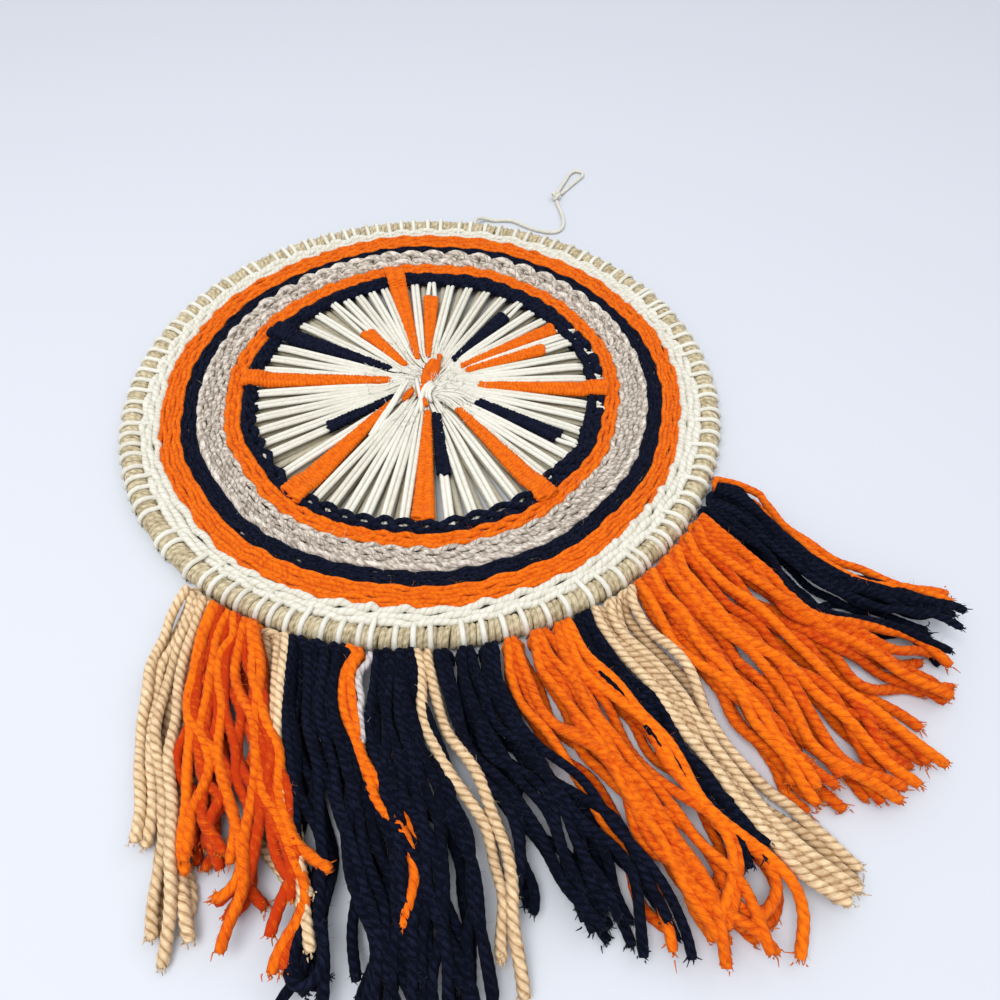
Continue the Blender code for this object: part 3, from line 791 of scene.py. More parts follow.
def add_node(tree, kind, links=None, **settings):
    """Adds a node: settings are its own properties, links its inputs' values or what feeds them."""
    node = tree.nodes.new(kind)
    for name, value in settings.items():
        setattr(node, name, value)
    for name, value in (links or {}).items():
        if isinstance(value, bpy.types.NodeSocket):
            tree.links.new(value, node.inputs[name])
        else:
            node.inputs[name].default_value = value
    return node


# Each yarn's finish: what it is spun from, its colour setting, its roughness and sheen, how
# strongly its fibres streak, and how dark the painted shade in the grooves between its plies is.
Finish = namedtuple("Finish", "material colour roughness gloss sheen streak groove")
FINISHES = {
    # Plied acrylic, brushed a little by handling: soft fibres, no shine.
    "orange": Finish("acrylic_worsted_plied_orange", "orange", 0.9, 0.08, 0.12, 0.42, 0.30),
    "black": Finish("acrylic_worsted_brushed_black", "black", 1.0, 0.05, 0.03, 0.60, 0.8),
    "tan": Finish("acrylic_worsted_plied_tan", "tan", 0.9, 0.10, 0.10, 0.35, 0.70),
    "white": Finish("acrylic_worsted_plied_white", "white", 0.9, 0.10, 0.10, 0.40, 0.7),
    # Acrylic too, spun unevenly from grey and beige fibres.
    "taupe": Finish("acrylic_marled_taupe", "taupe", 0.95, 0.10, 0.12, 0.68, 0.5),
    # The same tan acrylic wound tightly round the hoop: pulled smooth, so its grooves are faint.
    "wrap": Finish("acrylic_wound_tan", "wrap", 0.85, 0.12, 0.10, 0.45, 0.3),
    # Cotton string: pale, hard and matt.
    "cream": Finish("cotton_string_twisted_cream", "cream", 0.85, 0.12, 0.05, 0.18, 0.4),
}


# Fibres are drawn as streaks about 2 mm long, 22 of them round a yarn, coarser than real ones so
# that they show, and they lie darker in patches 1.6 mm across. The wrap's plies are drawn on it, as
# slanting stripes 2.6 mm apart: painted shade in the grooves between them and painted light on them.
STREAKS = (0.45, 22.0, 0.0)
PATCHES = 620.0
WRAP_STRIPES = (2.42, 12.57, 0.0)


def yarn_finish(context, yarn_name):
    """The finish of one yarn, made once. The yarn UV runs in millimetres along it and once round."""
    row = FINISHES[yarn_name]
    made = bpy.data.materials.get(row.material)
    if made:
        return made
    colours = context.scene.hanging_colours
    base, deep = getattr(colours, row.colour), getattr(colours, row.colour + "_deep")
    material = bpy.data.materials.new(row.material)
    material.use_nodes = True
    tree = material.node_tree
    shader = tree.nodes["Principled BSDF"]
    shader.inputs["Roughness"].default_value = row.roughness
    shader.inputs["Specular IOR Level"].default_value = row.gloss
    shader.inputs["Sheen Weight"].default_value = row.sheen
    shader.inputs["Sheen Roughness"].default_value = 0.6
    shader.inputs["Sheen Tint"].default_value = (*(0.6 * part + 0.25 for part in base), 1.0)

    uv = add_node(tree, "ShaderNodeUVMap", uv_map="yarn").outputs["UV"]
    place = add_node(tree, "ShaderNodeTexCoord").outputs["Object"]
    shade, hollow, hair = (
        add_node(tree, "ShaderNodeAttribute", attribute_name=name).outputs["Fac"]
        for name in ("shade", "hollow", "hair")
    )
    stretched = add_node(tree, "ShaderNodeVectorMath", {0: uv, 1: STREAKS}, operation="MULTIPLY")
    along = {"Vector": stretched.outputs["Vector"], "Scale": 1.0, "Detail": 2.0}
    fibres = add_node(tree, "ShaderNodeTexNoise", along).outputs["Fac"]
    everywhere = {"Vector": place, "Scale": PATCHES, "Detail": 2.0}
    patches = add_node(tree, "ShaderNodeTexNoise", everywhere).outputs["Fac"]
    # How near to its deep colour each place is: total adds up all that darkens it. Streaks
    #     and patches are the yarn's own tone; the shade attribute is its own tone and, on yarn that
    #     lies under other yarn, painted shade; the grooves get painted shade, and the wrap's stripes
    #     painted shade and painted light.
    total = 0.0
    for noise, high, most in ((fibres, 0.68, row.streak), (patches, 0.66, row.streak * 0.8)):
        links = {"Value": noise, "From Min": 0.38, "From Max": high, "To Min": 0.0, "To Max": most}
        spread = add_node(tree, "ShaderNodeMapRange", links).outputs["Result"]
        links = {0: total, 1: spread}
        total = add_node(tree, "ShaderNodeMath", links, operation="ADD").outputs["Value"]
    # The grooves between the plies, and a single yarn's sides, are darkened: painted shade.
    grooves = add_node(tree, "ShaderNodeMath", {0: hollow, 1: 2.5}, operation="POWER")
    parts = [(shade, 0.22), (grooves.outputs["Value"], row.groove)]
    # The wrap's slanting stripes: painted shade between its plies and painted light on them.
    if yarn_name == "wrap":
        across = {0: uv, 1: WRAP_STRIPES}
        slant = add_node(tree, "ShaderNodeVectorMath", across, operation="DOT_PRODUCT")
        stripes = add_node(tree, "ShaderNodeMath", {0: slant.outputs["Value"]}, operation="SINE")
        parts.append((stripes.outputs["Value"], 0.14))
    for part, amount in parts:
        links = {0: part, 1: amount, 2: total}
        total = add_node(tree, "ShaderNodeMath", links, operation="MULTIPLY_ADD").outputs["Value"]
    colour = add_node(tree, "ShaderNodeMix", {"Factor": total}, data_type="RGBA")
    # A colour mix has several inputs called A and B, so its own are set by their number.
    colour.inputs[6].default_value = (*base, 1.0)
    colour.inputs[7].default_value = (*deep, 1.0)
    pale = add_node(tree, "ShaderNodeMix", {"Factor": hair}, data_type="RGBA")
    tree.links.new(colour.outputs[2], pale.inputs[6])
    pale.inputs[7].default_value = (*(min(0.98 * part + 0.03, 1.0) for part in base), 1.0)
    tree.links.new(pale.outputs[2], shader.inputs["Base Color"])
    bump = add_node(tree, "ShaderNodeBump", {"Height": fibres, "Strength": 0.7, "Distance": 0.0003})
    tree.links.new(bump.outputs["Normal"], shader.inputs["Normal"])
    return material


# What a user would change.


def colour_setting(name, description, hex_colour):
    return FloatVectorProperty(
        name=name,
        description=description,
        subtype="COLOR",
        size=3,
        min=0.0,
        max=1.0,
        default=linear(hex_colour),
    )


def length_setting(name, description, millimetres):
    return FloatProperty(
        name=name, description=description, unit="LENGTH", min=0.0, default=millimetres * MM
    )


class HangingColours(PropertyGroup):
    """The colours of the yarns, lit and deep. The deep colour is that of the darker streaks, and it is
    also painted shade in the grooves and on yarn that lies under other yarn.
    """

    orange: colour_setting("Orange", "Orange yarn", "#EB750B")
    orange_deep: colour_setting("Orange, hollows", "Orange yarn in its hollows", "#B23004")
    black: colour_setting("Black", "Black yarn", "#191D31")
    black_deep: colour_setting("Black, hollows", "Black yarn in its hollows", "#060914")
    tan: colour_setting("Tan", "Tan yarn of the fringe and the wrap", "#ECCFA6")
    tan_deep: colour_setting("Tan, hollows", "Tan yarn in its hollows", "#98744D")
    wrap: colour_setting("Wrap", "Tan yarn wound round the hoop", "#D2C5A5")
    wrap_deep: colour_setting("Wrap, hollows", "Wound yarn in its hollows", "#7E6940")
    taupe: colour_setting("Taupe", "Taupe yarn", "#EAE0D2")
    taupe_deep: colour_setting("Taupe, hollows", "Taupe yarn in its hollows", "#8A7C6E")
    white: colour_setting("White", "Off-white yarn", "#D8D1CE")
    white_deep: colour_setting("White, hollows", "Off-white yarn in its hollows", "#958B8A")
    cream: colour_setting("Cream", "Cotton warp", "#E1DED1")
    cream_deep: colour_setting("Cream, hollows", "Cotton warp in its hollows", "#A99E82")
    floor: colour_setting("Floor", "Surface that it lies on", "#C7CAD0")


class HangingSizes(PropertyGroup):
    """The thicknesses of the yarns and the counts that a maker would choose."""

    fringe_yarn: length_setting("Fringe yarn", "Diameter of one strand of the fringe", 3.0)
    warp_thread: length_setting("Warp thread", "Diameter of the cotton warp", 1.65)
    wrap_yarn: length_setting("Wrap yarn", "Diameter of the yarn round the hoop", 2.05)
    spoke_yarn: length_setting("Spoke yarn", "Diameter of the yarn of the needle-woven spokes", 1.7)
    hanging_cord: length_setting("Hanging cord", "Diameter of the cord that it hangs by", 1.6)
    wrap_turns: IntProperty(
        name="Wrap turns", description="Turns of yarn round the hoop", min=40, default=352
    )


# The makers.


def deselect_all():
    """An operator acts on all that is selected, so nothing is left selected before it."""
    bpy.ops.object.select_all(action="DESELECT")


def place_in_mesh(piece):
    """Moves a piece's place into its mesh, so that its object sits at the origin, unturned."""
    deselect_all()
    piece.select_set(True)
    bpy.context.view_layer.objects.active = piece
    bpy.ops.object.transform_apply(location=True, rotation=True, scale=True)


class HANGING_OT_stage(Operator):
    """Lays the pale surface, hangs the soft lights and sets the camera"""

    bl_idname = "hanging.stage"
    bl_label = "Stage"

    def execute(self, context):
        hub = Vector(HUB) * MM
        deselect_all()
        bpy.ops.mesh.primitive_plane_add(size=FLOOR_WIDTH, location=(hub.x, hub.y, 0.0))
        floor = context.active_object
        floor.name = "floor"
        place_in_mesh(floor)
        floor.data.materials.append(self.floor_finish(context))
        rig.stage(floor)
        self.add_camera(context, hub)
        self.add_lights(context, hub)
        return {"FINISHED"}

    def floor_finish(self, context):
        """Painted board, rolled on: plain, pale and matt."""
        material = bpy.data.materials.new("painted_board_rolled")
        material.use_nodes = True
        shader = material.node_tree.nodes["Principled BSDF"]
        shader.inputs["Base Color"].default_value = (*context.scene.hanging_colours.floor, 1.0)
        shader.inputs["Roughness"].default_value = 0.9
        shader.inputs["Specular IOR Level"].default_value = 0.2
        return material

    def add_camera(self, context, hub):
        """Stands the camera over the fringe's side, pitched down and a little rolled."""
        data = bpy.data.cameras.new("camera")
        data.lens = VIEW_LENS
        data.clip_start = 0.01
        camera = bpy.data.objects.new("camera", data)
        context.scene.collection.objects.link(camera)
        pitch, roll = radians(VIEW_PITCH), radians(VIEW_ROLL)
        forward = Vector((0.0, cos(pitch), -sin(pitch)))
        right = Vector((1.0, 0.0, 0.0))
        above = right.cross(forward)
        across = cos(roll) * right + sin(roll) * above
        upward = -sin(roll) * right + cos(roll) * above
        turn = Matrix((across, upward, -forward)).transposed().to_4x4()
        camera.matrix_world = Matrix.Translation(hub + Vector(VIEW_PLACE) * MM) @ turn
        context.scene.camera = camera

    def add_lights(self, context, hub):
        """A pale sky with two large, soft lamps over the hanging."""
        world = bpy.data.worlds.new("soft room light")
        world.use_nodes = True
        sky = world.node_tree.nodes["Background"]
        sky.inputs["Color"].default_value = (*linear(SKY), 1.0)
        sky.inputs["Strength"].default_value = SKY_STRENGTH
        context.scene.world = world
        context.scene.view_settings.view_transform = "Standard"
        for lamp in LAMPS:
            data = bpy.data.lights.new(lamp.name, "AREA")
            data.size = lamp.size
            data.energy = lamp.power
            light = bpy.data.objects.new(lamp.name, data)
            light.location = hub + Vector(lamp.place)
            light.rotation_euler = (-Vector(lamp.place)).to_track_quat("-Z", "Y").to_euler()
            context.scene.collection.objects.link(light)


class HANGING_OT_cord(Operator):
    """Lays the hanging cord, with its knot and its loop"""

    bl_idname = "hanging.cord"
    bl_label = "Hanging cord"

    def execute(self, context):
        thick = context.scene.hanging_sizes.hanging_cord / 2 / MM
        string = Yarn(thick, 2, 3.2, 0.14)
        route = smooth_line(np.array(CORD_ROUTE) / MM)
        loop_route = smooth_line(np.array(LOOP_ROUTE) / MM)
        pieces = []
        for name, line, node in (
            ("hanging_cord_string", route, "hanging_cord"),
            ("hanging_loop_string", loop_route, "hanging_loop"),
        ):
            skein = Skein()
            skein.lay(line, string)
            pieces.append(skein.piece(context, name, "cream", node))
        knot = self.knot(context, string)
        cord, loop = pieces
        for piece, line, others in ((cord, route, [knot, loop]), (loop, loop_route, [])):
            path = (line + HUB) * MM
            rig.cord(
                piece,
                exit=path[0],
                length=float(distances(path)[-1]),
                diameter=2 * thick * MM,
                far_end="knot",
                stiffness="limp",
                lay="loose",
                path=path,
                with_pieces=others,
            )
        return {"FINISHED"}

    def knot(self, context, string):
        """An overhand knot pulled tight: a line that passes through itself three times."""
        t = np.linspace(0.0, 2 * pi, 60, endpoint=False)
        across = np.sin(t) + 2 * np.sin(2 * t)
        along = np.cos(t) - 2 * np.cos(2 * t)
        line = np.stack([0.55 * across, 0.7 * along, -1.0 * np.sin(3 * t)], axis=1)
        skein = Skein()
        skein.lay(line + np.array(KNOT_CENTRE) / MM, string, closed=True)
        return skein.piece(context, "hanging_knot_string", "cream", "hanging_knot")


class HANGING_OT_wrap(Operator):
    """Winds the tan yarn round the hoop: one turn, set round the ring, then made uneven"""

    bl_idname = "hanging.wrap"
    bl_label = "Hoop wrap"

    def execute(self, context):
        sizes = context.scene.hanging_sizes
        thick = sizes.wrap_yarn / 2 / MM
        turns = sizes.wrap_turns
        centre = Vector((HUB[0], HUB[1], 0.0)) * MM
        deselect_all()
        bpy.ops.mesh.primitive_torus_add(
            location=centre,
            major_segments=16,
            minor_segments=6,
            major_radius=(TUBE_RADIUS - thick) * MM,
            minor_radius=thick * MM,
        )
        wrap = context.active_object
        wrap.name = "hoop_wrap"
        bpy.ops.object.mode_set(mode="EDIT")
        bpy.ops.mesh.select_all(action="SELECT")
        bpy.ops.transform.rotate(value=pi / 2, orient_axis="X", center_override=centre)
        bpy.ops.transform.rotate(value=radians(WRAP_LEAN), orient_axis="Z", center_override=centre)
        bpy.ops.transform.translate(value=Vector((TUBE_PATH, 0.0, TUBE_HEIGHT)) * MM)
        bpy.ops.object.mode_set(mode="OBJECT")
        turner = bpy.data.objects.new("turner", None)
        context.scene.collection.objects.link(turner)
        turner.location = centre
        turner.rotation_euler.z = 2 * pi / turns
        context.view_layer.update()
        array = wrap.modifiers.new("turns", "ARRAY")
        array.count = turns
        array.use_relative_offset = False
        array.use_object_offset = True
        array.offset_object = turner
        bpy.ops.object.modifier_apply(modifier=array.name)
        bpy.data.objects.remove(turner)
        place_in_mesh(wrap)
        self.make_uneven(wrap.data, turns)
        self.mark_yarn(wrap.data, turns)
        wrap.data.shade_smooth()
        wrap.data.materials.append(yarn_finish(context, "wrap"))
        enrol(wrap, "tan", "hoop_wrapped")
        return {"FINISHED"}

    def make_uneven(self, mesh, turns):
        """Leans, spaces and swells the turns a little differently, and flattens them underneath."""
        rng = np.random.default_rng(11)
        points = np.empty(len(mesh.vertices) * 3)
        mesh.vertices.foreach_get("co", points)
        points = points.reshape(turns, -1, 3) / MM - HUB
        radius = np.hypot(points[..., 0], points[..., 1])
        angle = np.arctan2(points[..., 1], points[..., 0])
        lean = rng.normal(0.0, 0.05, (turns, 1)) * (radius - TUBE_PATH) / TUBE_PATH
        spacing = rng.normal(0.0, 0.0013, (turns, 1))
        angle = angle + lean + spacing
        swell = 1.0 + rng.normal(0.0, 0.018, (turns, 1))
        radius = TUBE_PATH + (radius - TUBE_PATH) * swell
        height = TUBE_HEIGHT + (points[..., 2] - TUBE_HEIGHT) * swell
        flat = (radius * np.cos(angle), radius * np.sin(angle), np.maximum(height, 0.0))
        mesh.vertices.foreach_set("co", ((np.stack(flat, axis=-1) + HUB) * MM).ravel())

    def mark_yarn(self, mesh, turns):
        """Scales the turns' UV to millimetres along the yarn, and shades each turn differently."""
        layer = mesh.uv_layers[0]
        layer.name = "yarn"
        uv = np.empty(len(layer.data) * 2)
        layer.data.foreach_get("uv", uv)
        uv = uv.reshape(turns, -1, 2)
        rng = np.random.default_rng(12)
        shades = rng.uniform(-0.6, 0.6, (turns, 1))
        uv[..., 0] = uv[..., 0] * 2 * pi * TUBE_RADIUS + WRAP_SHIFT * shades
        layer.data.foreach_set("uv", uv.ravel())
        each = len(mesh.vertices) // turns
        tone = mesh.attributes.new("shade", "FLOAT", "POINT")
        tone.data.foreach_set("value", np.repeat(shades.ravel(), each).astype(np.float32))


class HANGING_OT_warp(Operator):
    """Winds the cotton warp across the hoop, in a front and a back layer"""

    bl_idname = "hanging.warp"
    bl_label = "Warp"

    def execute(self, context):
        self.rng = np.random.default_rng(5)
        self.radius = context.scene.hanging_sizes.warp_thread / 2 / MM
        front, back = Skein(), Skein()
        thread = Yarn(self.radius, 1, 1.8, 0.0)
        # The back threads lie flatter and wider.
        back_thread = Yarn(self.radius * 1.6, 1, 4.0, 0.0)
        angles, spokes = pair_angles()
        rims = rim_angles()
        for pair, direction in enumerate(angles):
            for index, side in enumerate((-1, 1)):
                line = self.front_line(direction, rims[pair][index], side, spokes.get(pair))
                shade = self.rng.uniform(-0.6, 0.6)
                laid = front.lay(
                    line,
                    thread,
                    up=UP + 0.01 * sideways(direction),
                    girth=self.crowding(line),
                    shade=shade,
                    shape=(1.04, 0.88),
                )
                front.fuzz(laid[-12:], self.radius * 0.5, 3, self.rng, longest=2.6, thick=0.16)
                rim = rims[pair][index] + PAIR_ANGLE / 4
                line = self.back_line(rim)
                # The back threads are drawn near the cream's deep colour: painted shade, as they lie under the front
                # layer.
                back.lay(line, back_thread, up=sideways(rim), shade=shade + 3.0, shape=(0.6, 1.0))
        crossing = Yarn(self.radius * 0.85, 1, 1.6, 0.0)
        for points in CROSSING_THREADS:
            front.lay(smooth_line(points, 5), crossing, shade=-0.5)
        front.piece(context, "warp_front_threads", "cream", "warp_front")
        back.piece(context, "warp_back_threads", "cream", "warp_back")
        return {"FINISHED"}

    def crowding(self, line):
        """A thread's thickness at shares of its length: it is squeezed where the hub is crowded."""
        reach = np.linalg.norm(line[:, :2] - line[-1, :2], axis=1)
        share = distances(line) / distances(line)[-1]
        return share, np.interp(reach, (0.0, 10.0, 24.0), (0.46, 0.6, 1.0))

    def front_line(self, direction, rim, side, spoke):
        """From under the rim, over the tube, through the weaving and in to the hub."""
        over = TUBE_RADIUS + self.radius * 0.25
        points = []
        for turn in (-50, -20, 12, 45, 75, 105, 130):
            reach = TUBE_PATH + over * cos(radians(turn))
            points.append(polar(reach, rim, TUBE_HEIGHT + over * sin(radians(turn))))
        # Through the cotton rows, over or under, then down beneath the coloured ones.
        points.append(polar(0.915 * R, rim, 5.8 if self.rng.random() < 0.5 else 4.2))
        points.append(polar(0.885 * R, rim, 3.5))
        tall = presence(FAR_SIDE, direction)
        points.append(polar(0.80 * R, rim, 2.8 - 0.6 * tall))
        points.append(polar(0.72 * R, (rim + direction) / 2, 2.9 - 1.5 * tall))
        # Out from under the weaving beside its pair, and nearer the top where the weave is open.
        aside = sideways(direction) * side
        gap = self.radius * 0.98
        inner = edge_radius("black_inner", direction)
        lift = 1.1 * presence(OPEN_SIDE, direction)
        for past, apart, height in ((4.6, 1.3, 3.3 + lift), (3.0, 1.0, 3.6 + lift), (1.2, 1.0, 3.3)):
            points.append(polar(inner + past, direction, height) + aside * gap * apart)
        if spoke:
            points += self.through_spoke(spoke, aside, gap, inner)
        else:
            points.append(polar(inner - 3.0, direction, 4.5) + aside * gap)
            points.append(polar(34.0, direction, 5.1) + aside * gap)
            points.append(polar(19.0, direction, 5.4) + aside * gap * 0.75)
        return self.onto_hub(smooth_line(points, 5), direction)

    def through_spoke(self, spoke, aside, gap, inner):
        """Along the inside of a spoke, held apart by it, and together again past its end."""
        start = np.array((spoke.x1, spoke.y1, 0.0))
        end = np.array((spoke.x2, spoke.y2, 0.0))
        points = []
        past = inner - np.linalg.norm(end)
        if past > 3.0:
            points.append(end + unit(end - start) * (past - 0.5) + UP * 4.9 + aside * gap)
        wide, narrow = spoke.outer_width / 2 - 1.8, max(spoke.inner_width / 2 - 1.2, 0.5)
        for share in (0.97, 0.6, 0.3, 0.05):
            middle = start + (end - start) * share
            apart = narrow + (wide - narrow) * share
            points.append(middle + UP * (SPOKE_HEIGHT - 0.45) + aside * apart)
        return points

    def onto_hub(self, line, direction):
        """Bends the thread in from where it has got to, over the mounds, to its end at the hub."""
        table = np.array(HUB_ENDS)
        turn = (direction + 60.0) % 360.0 - 60.0
        end = np.array([np.interp(turn, table[:, 0], table[:, column]) for column in (1, 2)])
        end = end + self.rng.normal(0.0, 0.5, 2)
        start, ahead = line[-1, :2], unit(line[-1, :2] - line[-3, :2])
        reach = np.linalg.norm(end - start)
        bend = start + ahead * reach * 0.5
        shares = np.linspace(0.0, 1.0, 9)[1:, None]
        flat = (1 - shares) ** 2 * start + 2 * shares * (1 - shares) * bend + shares**2 * end
        lift = self.rng.uniform(-0.45, 0.35) * np.minimum(shares[:, 0] * 2, 1.0)
        height = HUB_HEIGHT + lift + self.mound_height(flat)
        return np.vstack([line, np.column_stack([flat, height])])

    def mound_height(self, flat):
        """How high the mounds lift a thread at each of its places."""
        lifts = []
        for mound in MOUNDS:
            across = (flat[:, 0] - mound.x) / mound.half_x
            along = (flat[:, 1] - mound.y) / mound.half_y
            away = across**2 + along**2
            lifts.append(mound.height * np.clip(1.0 - away, 0.0, 1.0) ** 0.6)
        return np.max(lifts, axis=0)

    def back_line(self, rim):
        """From inside the tube in across the back, rising to the hub."""
        points = [polar(TUBE_PATH - 2.6, rim, 0.9), polar(80.0, rim, 1.6), polar(45.0, rim, 1.8)]
        for reach, height in ((14.0, 2.4), (4.0, 3.4)):
            points.append(polar(reach, rim, height) + self.rng.normal(0.0, 0.3, 3))
        return smooth_line(points, 4)


class HANGING_OT_weaving(Operator):
    """Weaves the coloured rings, row by row"""

    bl_idname = "hanging.weaving"
    bl_label = "Weaving"

    def execute(self, context):
        self.rng = np.random.default_rng(21)
        self.degrees = np.linspace(0.0, 360.0, ROW_POINTS, endpoint=False)
        self.common = drift(self.degrees, 0.4, (5, 8, 11, 14), self.rng)
        # Half a wave for each thread, and for each pair of threads, that a row passes.
        self.passed = pi * thread_count(self.degrees)
        self.pairs_passed = (self.passed - pi / 2) / 2
        self.uneven = 0.75 + drift(self.degrees, 0.3, (7, 11, 17), self.rng)
        self.open_side = presence(OPEN_SIDE, self.degrees)
        self.near_side = presence(NEAR_SIDE, self.degrees)
        self.far_side = presence(FAR_SIDE, self.degrees)
        for band in BANDS:
            skein = Skein()
            self.rows(skein, band)
            if band.name == "band_taupe":
                self.scales(skein)
            if band.name == "band_black_inner":
                self.twining(skein)
            skein.piece(context, band.name + "_rows", band.yarn, band.name)
        return {"FINISHED"}

    def rows(self, skein, band):
        """Plain weave: each row goes over every other thread, and slants a little as it does."""
        outer = edge_radius(band.outer, self.degrees) + (band.outer != "tube") * self.common
        inner = edge_radius(band.inner, self.degrees) + self.common
        pitch = (outer - inner) / band.rows
        girth = (np.linspace(0.0, 1.0, len(pitch)), pitch / pitch.mean())
        thick = float(pitch.mean()) / 2
        for row in range(band.rows):
            over = np.cos(self.passed + pi * row)
            slant = 0.16 * np.sin(self.passed) + drift(self.degrees, 0.22, (29, 37, 43, 51), self.rng)
            line = polar(outer - pitch * (row + 0.5) + slant, self.degrees, 0.0)
            line[:, 2] = band.height + band.weave * np.tanh(1.6 * over)
            self.shape_row(line, band, row)
            laid = skein.lay(
                line,
                Yarn(thick * band.swell, 2, self.rng.uniform(3.4, 4.8), band.groove),
                closed=True,
                hand=int(self.rng.choice((-1, 1))),
                shape=(1.0, 0.95),
                girth=girth,
                shade=self.rng.uniform(-0.3, 0.3),
            )
            if band.yarn != "cream":
                skein.fuzz(laid, thick, 110, self.rng, longest=2.2)

    def shape_row(self, line, band, row):
        """Bulges or sinks the rows that aren't plain all the way round."""
        if band.name == "band_cream" and row == band.rows - 1:
            # The innermost row of cotton bulges between the pairs.
            bulge = np.clip(np.sin(self.passed), 0.0, 1.0) * self.uneven
            line += polar(-0.9 * bulge, self.degrees, 0.7 * bulge)
        if band.name == "band_black_inner":
            # On the open side the row dips under every other pair, which shows through it.
            dip = np.clip(1.6 * np.sin(self.pairs_passed + pi * row) - 0.6, 0.0, 1.0)
            line[:, 2] -= 2.3 * dip * self.open_side
            # On the near side the inner row sinks under each pair, whose end shows in its eye.
            eye = np.clip(3.0 * np.abs(np.sin(self.pairs_passed)) - 2.0, 0.0, 1.0)
            line[:, 2] -= 1.5 * eye * self.near_side * row
        if band.name == "band_taupe" and row in (1, 2, 3):
            # On the far side the rows sink between the scales, which leaves dark eyes.
            eye = np.clip((-np.sin(self.passed) - 0.8) / 0.2, 0.0, 1.0)
            line[:, 2] -= 3.2 * eye * self.far_side

    def scales(self, skein):
        """The taupe's outer stitches: a rounded arc for each pair, fat ones on the far side, where
        a second layer of smaller ones lies inside them, half a pair further on."""
        angles, _ = pair_angles()
        shares = np.linspace(0.0, 1.0, 9)
        arc = np.sin(pi * shares) ** 0.75
        for layer, (offset, drop, size, width) in enumerate(SCALE_LAYERS):
            for angle in angles + offset * PAIR_ANGLE:
                tall = presence(FAR_SIDE, angle)
                if layer and tall < 0.2:
                    continue
                base = edge_radius("black_outer", angle) - 1.7 - 0.9 * tall - drop
                bulge = (0.9 + 1.5 * tall) * self.rng.uniform(0.8, 1.1) * size
                degrees = angle + PAIR_ANGLE * (width + 0.05 * tall) * (2 * shares - 1)
                height = 5.3 + (0.8 + 0.3 * tall) * arc - 0.3 * layer
                radius = (1.0 + 0.3 * tall) * self.rng.uniform(0.92, 1.08)
                line = smooth_line(polar(base + bulge * arc, degrees, height), 3)
                shade = self.rng.uniform(-0.9, -0.1)
                skein.lay(line, Yarn(radius, 2, 9.0, 0.05), hand=-1, shade=shade)

    def twining(self, skein):
        """Two strands that cross between the pairs, so that each pair's end sits in an eye."""
        near, phase = self.near_side, self.pairs_passed
        base = edge_radius("black_inner", self.degrees) + 1.2 - 0.5 * near + self.common
        for side in (-1, 1):
            wide = 1.7 + drift(self.degrees, 0.25, (13, 19, 27), self.rng)
            wide = wide * (1.0 - 0.8 * self.open_side)
            line = polar(base + side * wide * np.sin(phase), self.degrees, 0.0)
            # Each strand lies higher where it is the outer one, but not on the open and near sides.
            sunk = 0.9 * side * np.sin(phase) * (1.0 - self.open_side - near)
            line[:, 2] = 4.9 + sunk + 0.7 * near + 0.5 * side * np.cos(phase)
            laid = skein.lay(line, Yarn(1.15, 2, 4.4, 0.12), closed=True, shade=0.2 * side)
            skein.fuzz(laid, 0.9, 140, self.rng, longest=2.0)


# One round of a figure of eight, across and upwards: over the right side and back under it, then
# the same on the left.
HALF_EIGHT = (
    (0.0, 0.1),
    (0.25, 0.85),
    (0.75, 1.0),
    (1.0, 0.5),
    (1.0, -0.5),
    (0.75, -1.0),
    (0.30, -0.9),
)
EIGHT = (*HALF_EIGHT, *((-across, above) for across, above in HALF_EIGHT))


def needle_weave(skein, start, end, width, thick, pitch, lift, seed, rise=None):
    """Packs figures of eight from one point to another, one at each pitch, lifted this far over
    and under the threads, as wide at each share of the way as width says, and raised by rise."""
    start, end = np.array(start, float), np.array(end, float)
    ahead = unit(end - start)
    left = unit(np.cross(UP, ahead))
    rounds = max(2, round(np.linalg.norm(end - start) / pitch))
    rng = np.random.default_rng(seed)
    line = []
    for turn in range(rounds):
        jitter = rng.normal(0.0, 0.05)
        for step, (across, above) in enumerate(EIGHT):
            share = (turn + step / len(EIGHT)) / rounds
            reach = max(width(share) / 2 - thick * 0.7 + jitter, 0.3)
            middle = start + (end - start) * share - left * across * reach
            height = above * lift + (rise(share) if rise else 0.0)
            line.append(middle + UP * height - ahead * 0.7 * abs(across))
    laid = skein.lay(
        smooth_line(line, 2),
        Yarn(thick, 1, 0.95, 0.0),
        up=ahead,
        shape=(0.7, 1.05),
        shade=rng.uniform(-0.2, 0.2),
        seam=0.85,
    )
    skein.fuzz(laid, thick * 0.8, rounds * 2, rng, longest=1.8)


